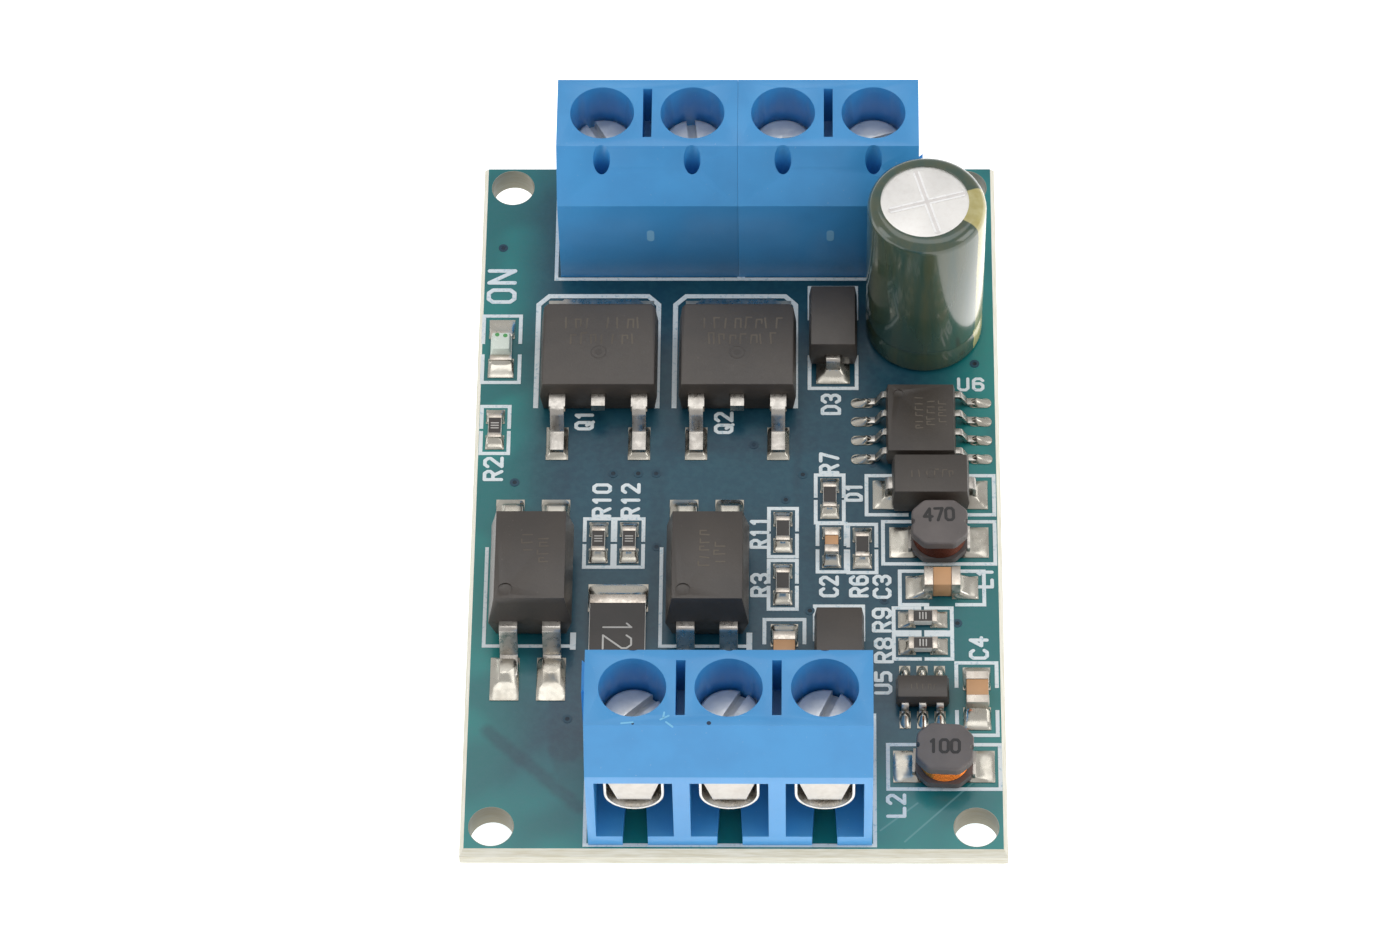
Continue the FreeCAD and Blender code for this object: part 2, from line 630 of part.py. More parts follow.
def power_transistor():
    """Body and lead frame: a tab under and behind the body, two leads and a cut middle stub."""
    width, length = TRANSISTOR_BODY[:2]
    front = -length / 2
    body = moulded_body(TRANSISTOR_BODY, TRANSISTOR_PARTING, TRANSISTOR_DRAFT)
    for side in (-1, 1):
        corner = [
            (side * width / 2, length / 2 - TRANSISTOR_CORNER),
            (side * width / 2, length / 2),
            (side * (width / 2 - TRANSISTOR_CORNER), length / 2),
        ]
        body = body.cut(prism(corner, "Z", -1, TRANSISTOR_BODY[2] + 1))
    thickness = TRANSISTOR_SHEET
    tab = box((-TAB_WIDTH / 2, TAB_WIDTH / 2), (TAB_REACH - TAB_LENGTH, TAB_REACH), (0, thickness))
    far_uprights = [
        edge for edge in tab.Edges
        if abs(edge.tangentAt(0).z) > 0.9 and edge.CenterOfMass.y > TAB_REACH - 0.001
    ]
    tab = tab.makeChamfer(TRANSISTOR_CORNER, far_uprights)
    root = front + LEAD_ROOT
    shoulder, foot, tip = [front - run for run in TRANSISTOR_LEAD_RUNS]
    exit_z = TRANSISTOR_PARTING
    half = TRANSISTOR_LEAD_WIDTH / 2
    knee_half = TRANSISTOR_KNEE[0] / 2
    knee_tip = front - TRANSISTOR_KNEE[1]
    z_range = (exit_z - thickness / 2, exit_z + thickness / 2)
    leads = [tab, box((-half, half), (front - TRANSISTOR_STUB, root), z_range)]
    for x in (-TRANSISTOR_LEAD_X, TRANSISTOR_LEAD_X):
        lead = gull_wing(root, shoulder, foot, tip, exit_z, thickness, "X", x - half, x + half)
        knee = box((x - knee_half, x + knee_half), (knee_tip, root), z_range)
        leads.append(fused([lead, knee]))
    return body.cut(leads), leads


def optocoupler():
    """Four-lead coupler: tall drafted body and four wide gull-wing leads."""
    edge = OPTOCOUPLER_BODY[1] / 2
    parting = OPTOCOUPLER_PARTING
    body = moulded_body(OPTOCOUPLER_BODY, parting, OPTOCOUPLER_DRAFT, OPTOCOUPLER_MARK)
    shoulder, foot, tip = [edge + run for run in OPTOCOUPLER_LEAD_RUNS]
    half = OPTOCOUPLER_LEAD_WIDTH / 2
    leads = []
    for x in (-OPTOCOUPLER_LEAD_X, OPTOCOUPLER_LEAD_X):
        lead = gull_wing(
            edge - LEAD_ROOT, shoulder, foot, tip, parting, OPTOCOUPLER_SHEET, "X", x - half, x + half)
        leads += [lead, mirrored(lead, "Y")]
    return body.cut(leads), leads


def lead_row_package(size, lead_row, axis, mark=None):
    """Small package with a row of gull-wing leads on two sides, pointing along the axis."""
    parting, pitch, count, lead_width, span = lead_row
    edge = size[0 if axis == "X" else 1] / 2
    strip_axis = "Y" if axis == "X" else "X"
    tip = span / 2
    leads = []
    for index in range(count):
        low = (index - (count - 1) / 2) * pitch - lead_width / 2
        lead = gull_wing(
            edge - LEAD_ROOT, edge + ROW_SHOULDER, tip - ROW_FOOT, tip,
            parting, SHEET, strip_axis, low, low + lead_width)
        leads += [lead, mirrored(lead, axis)]
    return moulded_body(size, parting, mark=mark), leads


def diode():
    """Two-lead diode along Y: each lead leaves at mid height and folds under the body."""
    edge = DIODE_BODY[1] / 2
    out, under = DIODE_LEAD_RUNS
    half = SHEET / 2
    bend = edge + out
    path = [(edge - LEAD_ROOT, DIODE_PARTING), (bend, DIODE_PARTING), (bend, half), (edge - under, half)]
    lead = bent_strip(path, SHEET, SHEET * 0.8, "X", -DIODE_LEAD_WIDTH / 2, DIODE_LEAD_WIDTH / 2)
    leads = [lead, mirrored(lead, "Y")]
    return moulded_body(DIODE_BODY, DIODE_PARTING).cut(leads), leads


def inductor(winding_radius):
    """Drum core with octagonal flanges, a winding between them and two terminals."""
    base_z, waist_z, cap_z, top_z = INDUCTOR_LEVELS
    half_width, half_length = [size / 2 for size in INDUCTOR_PLATE]

    def flange(low, high):
        slab = centred_box(2 * half_width, 2 * half_length, low, high)
        uprights = [edge for edge in slab.Edges if abs(edge.tangentAt(0).z) > 0.9]
        slab = slab.makeChamfer(INDUCTOR_CHAMFER, uprights)
        uprights = [edge for edge in slab.Edges if abs(edge.tangentAt(0).z) > 0.9]
        return slab.makeFillet(INDUCTOR_CORNER_ROUND, uprights)

    cap = flange(cap_z, top_z)
    rim = [edge for edge in cap.Edges if edge.CenterOfMass.z > top_z - 0.001]
    cap = cap.makeFillet(INDUCTOR_RIM_ROUND, rim)
    cap = cap.cut([post(INDUCTOR_NOTCH_RADIUS, side * half_width, 0, 0, top_z + 1) for side in (-1, 1)])
    core = fused([flange(base_z, waist_z), post(CORE_RADIUS, 0, 0, waist_z, cap_z), cap])

    wire = (cap_z - waist_z) / WINDING_TURNS
    corners = [(winding_radius, cap_z), (CORE_RADIUS, cap_z), (CORE_RADIUS, waist_z), (winding_radius, waist_z)]
    corners = [Vector(radius, 0, z) for radius, z in corners]
    edges = [Part.LineSegment(corners[index], corners[index + 1]).toShape() for index in range(3)]
    for turn in range(WINDING_TURNS):
        start = corners[-1] + Vector(0, 0, turn * wire)
        crest = start + Vector(wire * 0.4, 0, wire / 2)
        edges.append(Part.Arc(start, crest, start + Vector(0, 0, wire)).toShape())
    section = Part.Face(Part.Wire(edges))
    winding = section.revolve(Vector(0, 0, 0), Vector(0, 0, 1), 360)

    width, thickness, reach, height = INDUCTOR_TERMINAL
    outside = half_width + INDUCTOR_TERMINAL_OUT
    under = (outside - reach, thickness / 2)
    path = [under, (outside, thickness / 2), (outside, height)]
    terminal = bent_strip(path, thickness, thickness * 0.75, "Y", -width / 2, width / 2)
    seat = box((half_width - reach, half_width), (-width / 2, width / 2), (thickness, base_z))
    terminal = fused([terminal, seat])
    terminals = [terminal, mirrored(terminal, "X")]
    return core.cut(terminals), winding, terminals


# ---------------------------------------------------------------- chip parts, built along Y
def chip(length, width, height, cap):
    """Ceramic body between two end caps that stand slightly proud of it."""
    inner = length - 2 * cap
    body = centred_box(width - 2 * CAP_PROUD, inner, CAP_PROUD, height - CAP_PROUD)
    caps = []
    for side in (-1, 1):
        end = centred_box(width, cap, 0, height)
        end.translate(Vector(0, side * (inner + cap) / 2, 0))
        caps.append(end)
    return body, caps


def chip_resistor(length, width, height, cap):
    """Chip with a dark overcoat let into the top of its ceramic body."""
    body, caps = chip(length, width, height, cap)
    inner = length - 2 * cap
    top = height - CAP_PROUD
    coat = centred_box(width - 4 * CAP_PROUD, inner, top - OVERCOAT_THICKNESS, top)
    return body.cut(coat), coat, caps


def indicator_lamp():
    """Surface-mount lamp along Y: white base, clear lens on its middle, two terminals."""
    length, width, height, cap = LAMP_SIZE
    base, caps = chip(length, width, LAMP_BASE_HEIGHT, cap)
    foot_z = LAMP_BASE_HEIGHT - CAP_PROUD
    foot_width = width - 2 * LAMP_LENS_INSET
    foot_length = length - 2 * cap
    narrowing = 2 * LAMP_LENS_DRAFT
    lens = frustum(foot_width, foot_length, foot_z, foot_width - narrowing, foot_length - narrowing, height)
    return base, lens, caps


def along(direction):
    """The turn that takes a part built along Y to its own direction."""
    return 90 if direction == "X" else 0


# ---------------------------------------------------------------- pads and board
def pad_pair(x, y, direction, reach, pad_length, pad_width, corner=0):
    """Two pads either side of a part's centre, reach is their outer ends' distance from it."""
    pads = []
    for side in (-1, 1):
        pad = centred_box(pad_width, pad_length, 0, PAD_THICKNESS)
        if corner:
            pad = pad.makeFillet(corner, [edge for edge in pad.Edges if abs(edge.tangentAt(0).z) > 0.9])
        pad.translate(Vector(0, side * (reach - pad_length / 2), 0))
        pads.append(moved(pad, x, y, BOARD_TOP, along(direction)))
    return pads


def copper_pads():
    """Every tinned pad on the component side."""
    pads = []
    for x, y, direction in SMALL_RESISTORS.values():
        pads += pad_pair(x, y, direction, *SMALL_RESISTOR_PADS)
    for capacitor_row in CERAMIC_CAPACITORS.values():
        x, y, direction = capacitor_row[:3]
        width, reach = capacitor_row[4], capacitor_row[7]
        pads += pad_pair(x, y, direction, reach, reach - CERAMIC_PAD_GAP / 2, width + CERAMIC_PAD_MARGIN)
    pads += pad_pair(LAMP[0], LAMP[1], "Y", *LAMP_PADS)
    pads += pad_pair(POWER_RESISTOR[0], POWER_RESISTOR[1], "Y", *POWER_RESISTOR_PADS)
    for x, y, direction in DIODES.values():
        pads += pad_pair(x, y, direction, *DIODE_PADS)
    for inductor_row in INDUCTORS.values():
        pads += pad_pair(inductor_row[0], inductor_row[1], "X", *INDUCTOR_PADS)
    for x, y in OPTOCOUPLERS.values():
        pad_x = x - OPTOCOUPLER_OFF_PADS[0]
        pad_y = y - OPTOCOUPLER_OFF_PADS[1]
        for column in (-OPTOCOUPLER_PAD_X, OPTOCOUPLER_PAD_X):
            pads += pad_pair(pad_x + column, pad_y, "Y", *OPTOCOUPLER_PADS)
    driver_pitch, driver_rows = DRIVER_LEADS[1:3]
    for row in range(driver_rows):
        place = (row - (driver_rows - 1) / 2) * driver_pitch
        pads += pad_pair(DRIVER_IC[0], DRIVER_IC[1] + place, "X", *DRIVER_PADS, corner=DRIVER_PAD_ROUND)
    regulator_pitch, regulator_columns = REGULATOR_LEADS[1:3]
    for column in range(regulator_columns):
        place = (column - (regulator_columns - 1) / 2) * regulator_pitch
        pads += pad_pair(REGULATOR_IC[0] + place, REGULATOR_IC[1], "Y", *REGULATOR_PADS)
    for x, y in TRANSISTORS.values():
        for column, (width, near, far) in (
            (-TRANSISTOR_LEAD_X, TRANSISTOR_LEAD_PAD),
            (TRANSISTOR_LEAD_X, TRANSISTOR_LEAD_PAD),
            (0, TRANSISTOR_TAB_PAD),
        ):
            x_range = (x + column - width / 2, x + column + width / 2)
            pads.append(box(x_range, (y + near, y + far), (BOARD_TOP, SEAT)))
    return pads


def lead_places():
    """Where pins and leads go through the board: (x, y) of each, terminals first."""
    places = []
    pin_depth = CONTACT_REACH - CONTACT_THICKNESS / 2
    for block, layout in TERMINAL_BLOCKS.items():
        entry_y, turn = layout[2:]
        inward = -1 if turn else 1
        places += [(x, entry_y + inward * pin_depth) for x in pole_places(block)]
    places += [(CAPACITOR_X + side * LEAD_PITCH / 2, CAPACITOR_Y) for side in (-1, 1)]
    return places


def circuit_board():
    """Board with scored edges, mounting holes and lead holes."""
    inner_width = BOARD_WIDTH - 2 * SCORE_WIDTH
    inner_length = BOARD_LENGTH - 2 * SCORE_WIDTH
    upper = BOARD_THICKNESS - SCORE_DEPTH
    board = fused([
        frustum(inner_width, inner_length, 0, BOARD_WIDTH, BOARD_LENGTH, SCORE_DEPTH),
        centred_box(BOARD_WIDTH, BOARD_LENGTH, SCORE_DEPTH, upper),
        frustum(BOARD_WIDTH, BOARD_LENGTH, upper, inner_width, inner_length, BOARD_THICKNESS),
    ])
    holes = []
    for x in (-MOUNT_SPACING_X / 2, MOUNT_SPACING_X / 2):
        for y in (-MOUNT_SPACING_Y / 2, MOUNT_SPACING_Y / 2):
            holes.append(post(MOUNT_HOLE_RADIUS, x, y, -1, BOARD_THICKNESS + 1))
    for x, y in lead_places():
        holes.append(post(LEAD_HOLE_RADIUS, x, y, -1, BOARD_THICKNESS + 1))
    return board.cut(holes)


def solder_joints(pins):
    """A cone of solder under the board round each pin, with a plug that fills the hole."""
    tip, waist, foot = SOLDER_HEIGHTS
    cone = lathe([
        (0, -tip),
        (SOLDER_TIP_RADIUS, -tip),
        (SOLDER_WAIST_RADIUS, -waist),
        (SOLDER_FOOT_RADIUS, -foot),
        (SOLDER_FOOT_RADIUS, 0),
        (LEAD_HOLE_RADIUS, 0),
        (LEAD_HOLE_RADIUS, BOARD_THICKNESS),
        (0, BOARD_THICKNESS),
    ])
    joints = []
    for x, y in lead_places():
        near = [pin for pin in pins if pin.BoundBox.isInside(Vector(x, y, 0))]
        joints.append(moved(cone, x, y, 0).cut(near))
    return joints


# ---------------------------------------------------------------- assembly
def packages():
    """All the nodes of the moulded packages and the inductors."""
    nodes = {}

    def add(name, body, leads, x, y):
        nodes[name + "_body"] = [moved(body, x, y, SEAT)]
        nodes[name + "_leads"] = [moved(lead, x, y, SEAT) for lead in leads]

    body, leads = power_transistor()
    for name, (x, y) in TRANSISTORS.items():
        add("transistor_" + name, body, leads, x, y)
    body, leads = optocoupler()
    for name, (x, y) in OPTOCOUPLERS.items():
        add(name + "_optocoupler", body, leads, x, y)
    body, leads = lead_row_package(DRIVER_BODY, DRIVER_LEADS, "X", DRIVER_MARK)
    body = moved(body, DRIVER_BODY_OFF_PADS[0], DRIVER_BODY_OFF_PADS[1], 0).cut(leads)
    add("gate_driver", body, leads, DRIVER_IC[0], DRIVER_IC[1])
    body, leads = lead_row_package(REGULATOR_BODY, REGULATOR_LEADS, "Y")
    add("regulator", body.cut(leads), leads, REGULATOR_IC[0], REGULATOR_IC[1])

    body, leads = diode()
    nodes["diode_leads"] = []
    for name, (x, y, direction) in DIODES.items():
        turn = along(direction)
        nodes["diode_" + name + "_body"] = [moved(body, x, y, SEAT, turn)]
        nodes["diode_leads"] += [moved(lead, x, y, SEAT, turn) for lead in leads]

    nodes["inductor_terminals"] = []
    for name, (x, y, turn, winding_radius) in INDUCTORS.items():
        core, winding, terminals = inductor(winding_radius)
        nodes["inductor_" + name + "_core"] = [moved(core, x, y, SEAT, turn)]
        nodes["inductor_" + name + "_winding"] = [moved(winding, x, y, SEAT, turn)]
        nodes["inductor_terminals"] += [moved(piece, x, y, SEAT, turn) for piece in terminals]
    return nodes


def chips():
    """All the nodes of the chip resistors, the ceramic capacitors and the indicator lamp."""
    nodes = {
        "chip_resistor_bodies": [],
        "chip_resistor_overcoats": [],
        "chip_resistor_end_caps": [],
        "ceramic_capacitor_bodies": [],
        "ceramic_capacitor_end_caps": [],
    }
    body, coat, caps = chip_resistor(*SMALL_RESISTOR_SIZE)
    for x, y, direction in SMALL_RESISTORS.values():
        turn = along(direction)
        nodes["chip_resistor_bodies"].append(moved(body, x, y, SEAT, turn))
        nodes["chip_resistor_overcoats"].append(moved(coat, x, y, SEAT, turn))
        nodes["chip_resistor_end_caps"] += [moved(cap, x, y, SEAT, turn) for cap in caps]
    for x, y, direction, length, width, height, cap_length, _ in CERAMIC_CAPACITORS.values():
        turn = along(direction)
        body, caps = chip(length, width, height, cap_length)
        nodes["ceramic_capacitor_bodies"].append(moved(body, x, y, SEAT, turn))
        nodes["ceramic_capacitor_end_caps"] += [moved(cap, x, y, SEAT, turn) for cap in caps]
    body, coat, caps = chip_resistor(*POWER_RESISTOR_SIZE)
    x, y = POWER_RESISTOR
    nodes["power_resistor_body"] = [moved(body, x, y, SEAT)]
    nodes["power_resistor_overcoat"] = [moved(coat, x, y, SEAT)]
    nodes["power_resistor_end_caps"] = [moved(cap, x, y, SEAT) for cap in caps]
    base, lens, caps = indicator_lamp()
    x, y = LAMP
    nodes["lamp_base"] = [moved(base, x, y, SEAT)]
    nodes["lamp_lens"] = [moved(lens, x, y, SEAT)]
    nodes["lamp_terminals"] = [moved(cap, x, y, SEAT) for cap in caps]
    return nodes


def build():
    """Every node of the board, by name."""
    nodes = {"circuit_board": [circuit_board()], "copper_pads": copper_pads()}
    nodes.update(terminal_blocks())
    nodes.update(capacitor())
    nodes.update(packages())
    nodes.update(chips())
    pins = [shape for node in nodes for shape in nodes[node] if node.endswith("_contacts")]
    nodes["solder_joints"] = solder_joints(pins + nodes["capacitor_leads"])
    return nodes


os.makedirs("parts", exist_ok=True)
for name, shapes in build().items():
    export(name, shapes)
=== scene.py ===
import json
import math
import random

import bmesh
import bpy
from mathutils import Matrix, Vector


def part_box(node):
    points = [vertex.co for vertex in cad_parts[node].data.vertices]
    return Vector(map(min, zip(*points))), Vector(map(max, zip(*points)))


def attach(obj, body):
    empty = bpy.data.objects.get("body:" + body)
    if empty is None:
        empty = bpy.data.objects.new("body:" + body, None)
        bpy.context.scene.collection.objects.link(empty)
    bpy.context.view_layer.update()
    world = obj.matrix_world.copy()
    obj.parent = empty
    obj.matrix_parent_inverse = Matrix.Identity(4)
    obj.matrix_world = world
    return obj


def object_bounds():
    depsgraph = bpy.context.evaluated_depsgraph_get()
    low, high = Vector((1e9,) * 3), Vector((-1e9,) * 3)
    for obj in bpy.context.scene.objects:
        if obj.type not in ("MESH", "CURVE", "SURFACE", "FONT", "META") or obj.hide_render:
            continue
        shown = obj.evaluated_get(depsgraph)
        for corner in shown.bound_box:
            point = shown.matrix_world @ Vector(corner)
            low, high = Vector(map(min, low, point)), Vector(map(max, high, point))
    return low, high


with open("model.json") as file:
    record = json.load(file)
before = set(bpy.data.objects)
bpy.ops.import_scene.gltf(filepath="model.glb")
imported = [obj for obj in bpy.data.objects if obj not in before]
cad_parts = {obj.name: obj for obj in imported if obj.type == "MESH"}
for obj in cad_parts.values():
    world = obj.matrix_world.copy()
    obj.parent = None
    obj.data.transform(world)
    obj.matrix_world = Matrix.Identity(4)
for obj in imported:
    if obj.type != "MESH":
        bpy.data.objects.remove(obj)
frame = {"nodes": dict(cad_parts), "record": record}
cad_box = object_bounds()

MM = 0.001
MICRONS_IN_METRE = 1e6
MICRONS_IN_MM = 1000
ROOT = "board"
NODES = frame["nodes"]
HOLE_MOUNT = next(mount for mount in frame["record"]["mounts"] if mount["name"] == "mounting_holes")
HOLE_RADIUS = HOLE_MOUNT["dims"]["hole_r_mm"]
RANDOM = random.Random(7)

SMOOTH_ANGLE = 25  # degrees: flatter edges are shaded smooth
BEVEL_ANGLE = 35  # degrees: sharper edges are rounded
BEVEL_SEGMENTS = 2
WELD_REACH = 1e-7  # metres


# -------------------- reading the frame
def box_mm(node):
    """A node's lowest and highest corner in millimetres."""
    low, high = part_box(node)
    return Vector(low) / MM, Vector(high) / MM


def middle_of(low, high):
    """The middle of a box in the board's plane."""
    return (low.x + high.x) / 2, (low.y + high.y) / 2


def circle(x, y, radius, count):
    """Points of a circle in the board's plane."""
    return [(x + radius * math.cos(math.tau * k / count), y + radius * math.sin(math.tau * k / count))
            for k in range(count)]


def mounting_holes():
    """The centre of each mounting hole in the board's plane."""
    x, y = HOLE_MOUNT["dims"]["spacing_x_mm"] / 2, HOLE_MOUNT["dims"]["spacing_y_mm"] / 2
    return [(sx * x, sy * y) for sx in (-1, 1) for sy in (-1, 1)]


def islands(node, below=None):
    """The box of each separate solid of a node in millimetres; below keeps only its lowest part."""
    mesh = NODES[node].data
    keys = [tuple(round(value * MICRONS_IN_METRE) for value in vertex.co) for vertex in mesh.vertices]
    parent = {key: key for key in keys}

    def root(key):
        """The key that stands for the whole solid this one belongs to."""
        while parent[key] != key:
            parent[key] = parent[parent[key]]
            key = parent[key]
        return key

    for edge in mesh.edges:
        a, b = (root(keys[index]) for index in edge.vertices)
        if a != b:
            parent[a] = b
    groups = {}
    for key in parent:
        groups.setdefault(root(key), []).append(Vector(key) / MICRONS_IN_MM)
    boxes = []
    for points in groups.values():
        if below is not None:
            floor = min(point.z for point in points)
            points = [point for point in points if point.z < floor + below]
        low = Vector(min(point[axis] for point in points) for axis in range(3))
        high = Vector(max(point[axis] for point in points) for axis in range(3))
        boxes.append((low, high))
    return sorted(boxes, key=lambda pair: tuple(pair[0]))


BOARD_LOW, BOARD_HIGH = box_mm("circuit_board")
TOP = BOARD_HIGH.z
PADS = islands("copper_pads")
SEAT = PADS[0][1].z


# -------------------- materials
# Painted reflection: the mask runs from the darker middle colour to the lighter rim colour towards the
# board's edges, as if mirroring dark parts in the middle and bright surroundings at the rim.
MASK_MIDDLE = (0.008, 0.068, 0.108)
MASK_RIM_REFLECTION = (0.010, 0.235, 0.222)
MASK_DARK = (0.005, 0.034, 0.066)
MASK_SPECKLE = (0.04, 0.17, 0.20)
MASK_SCRATCH = (0.25, 0.50, 0.50)
# Painted shade: the darker brown that the laminate takes inside each mounting hole.
HOLE_WALL_SHADE = (0.16, 0.135, 0.075)
LAMINATE = [(0.3, (0.62, 0.58, 0.45)), (0.55, (0.70, 0.68, 0.58)), (0.8, (0.78, 0.76, 0.68))]
MASK_DEPTH = 0.006  # how far the mask's colour reaches down from each face
MASK_CLEARANCE = 0.03  # bare laminate round each mounting hole
STRIPE_ANGLE = -0.05  # radians from the +X side of the can
STRIPE_HALF_ANGLE = 0.42


class Paint:
    """A node material. Most methods add nodes and give back an output."""

    def __init__(self, name, colour=(0.8, 0.8, 0.8), roughness=0.5, metallic=0.0):
        """A principled material with plain values, ready for textures in the object's own space."""
        self.material = bpy.data.materials.new(name)
        self.material.use_nodes = True
        self.tree = self.material.node_tree
        self.shader = self.tree.nodes["Principled BSDF"]
        self.place = self.tree.nodes.new("ShaderNodeTexCoord").outputs["Object"]
        self.set(Roughness=roughness, Metallic=metallic)
        self.shader.inputs["Base Color"].default_value = (*colour, 1)

    def set(self, **values):
        """Set or link the shader's own sockets; an underscore stands for a space."""
        for name, value in values.items():
            self.put(self.shader.inputs[name.replace("_", " ")], value)

    def put(self, socket, value):
        """Links an output to a socket, or gives the socket a plain value."""
        if isinstance(value, bpy.types.NodeSocket):
            self.tree.links.new(value, socket)
        elif value is not None:
            socket.default_value = value

    def node(self, kind, inputs, **settings):
        """Adds a shader node with its settings and inputs, and gives back the node."""
        node = self.tree.nodes.new("ShaderNode" + kind)
        for name, value in settings.items():
            setattr(node, name, value)
        for key, value in inputs.items():
            self.put(node.inputs[key], value)
        return node

    def noise(self, size, detail=3.0, roughness=0.55, stretch=None):
        """Noise whose features are about size millimetres across."""
        at = self.place
        if stretch:
            at = self.node("Mapping", {"Vector": at, "Scale": stretch}).outputs[0]
        inputs = {"Vector": at, "Scale": 1 / (size * MM), "Detail": detail, "Roughness": roughness}
        return self.node("TexNoise", inputs).outputs["Fac"]

    def math(self, operation, a, b=0.0):
        """Arithmetic on outputs or numbers."""
        return self.node("Math", {0: a, 1: b}, operation=operation).outputs[0]

    def step(self, value, low, high, out_low=0.0, out_high=1.0):
        """A smooth step from low to high."""
        inputs = {"Value": value, "From Min": low, "From Max": high, "To Min": out_low, "To Max": out_high}
        return self.node("MapRange", inputs, interpolation_type="SMOOTHSTEP").outputs[0]

    def ramp(self, value, *stops):
        """Colours at positions, as (position, (r, g, b)) pairs."""
        node = self.node("ValToRGB", {"Fac": value})
        elements = node.color_ramp.elements
        while len(elements) < len(stops):
            elements.new(0.5)
        for element, (position, colour) in zip(elements, stops):
            element.position = position
            element.color = (*colour, 1)
        return node.outputs["Color"]

    def mix(self, factor, a, b):
        """A colour between a and b, which are colours or outputs."""
        node = self.tree.nodes.new("ShaderNodeMix")
        node.data_type = "RGBA"
        for index, value in ((0, factor), (6, a), (7, b)):
            self.put(node.inputs[index], (*value, 1) if isinstance(value, tuple) else value)
        return node.outputs[2]

    def axes(self):
        """The object's own X, Y and Z in millimetres."""
        scaled = self.node("VectorMath", {0: self.place, 1: (1 / MM,) * 3}, operation="MULTIPLY")
        split = self.node("SeparateXYZ", {0: scaled.outputs[0]})
        return split.outputs[0], split.outputs[1], split.outputs[2]

    def distance(self, x, y):
        """Distance in millimetres from an upright axis through (x, y)."""
        px, py, _ = self.axes()
        dx = self.math("SUBTRACT", px, x)
        dy = self.math("SUBTRACT", py, y)
        squares = self.math("ADD", self.math("MULTIPLY", dx, dx), self.math("MULTIPLY", dy, dy))
        return self.math("SQRT", squares)

    def bump(self, height, depth, strength):
        """Relief of the given depth in millimetres, set as the shader's normal."""
        inputs = {"Height": height, "Distance": depth * MM, "Strength": strength}
        self.set(Normal=self.node("Bump", inputs).outputs[0])


# Copper under the solder mask that shows through it: start, end, half width and how dark it looks.
TRACES = [
    ((-13.4, -15.4), (-8.3, -20.2), 0.42, 0.5),
    ((-9.1, -10.6), (-9.1, -16.4), 1.0, 0.45),
    ((-9.0, -16.2), (-8.4, -18.4), 1.2, 0.3),
    ((-6.6, 1.9), (-6.6, 3.6), 1.3, 0.3),
    ((-3.6, 3.5), (4.0, 3.5), 0.6, 0.35),
    ((3.4, -0.2), (3.4, 5.4), 0.28, 0.4),
    ((-4.4, 1.5), (-4.4, -9.0), 0.45, 0.3),
    ((7.3, 5.6), (7.3, 13.0), 0.8, 0.3),
    ((-10.4, -1.4), (-10.4, 2.6), 1.1, 0.25),
]
SCRATCHES = [((12.9, -18.6), (9.2, -22.3)), ((7.9, -21.6), (9.9, -19.9))]


def near_line(paint, x, y, start, end):
    """Distance in millimetres from a straight line between two places on the board."""
    run = Vector(end) - Vector(start)
    length = run.length
    run.normalize()
    dx = paint.math("SUBTRACT", x, start[0])
    dy = paint.math("SUBTRACT", y, start[1])
    along = paint.math("ADD", paint.math("MULTIPLY", dx, run.x), paint.math("MULTIPLY", dy, run.y))
    beyond = paint.math("SUBTRACT", along, paint.math("MINIMUM", paint.math("MAXIMUM", along, 0.0), length))
    across = paint.math("SUBTRACT", paint.math("MULTIPLY", dx, -run.y), paint.math("MULTIPLY", dy, -run.x))
    square_beyond = paint.math("MULTIPLY", beyond, beyond)
    square_across = paint.math("MULTIPLY", across, across)
    return paint.math("SQRT", paint.math("ADD", square_beyond, square_across))


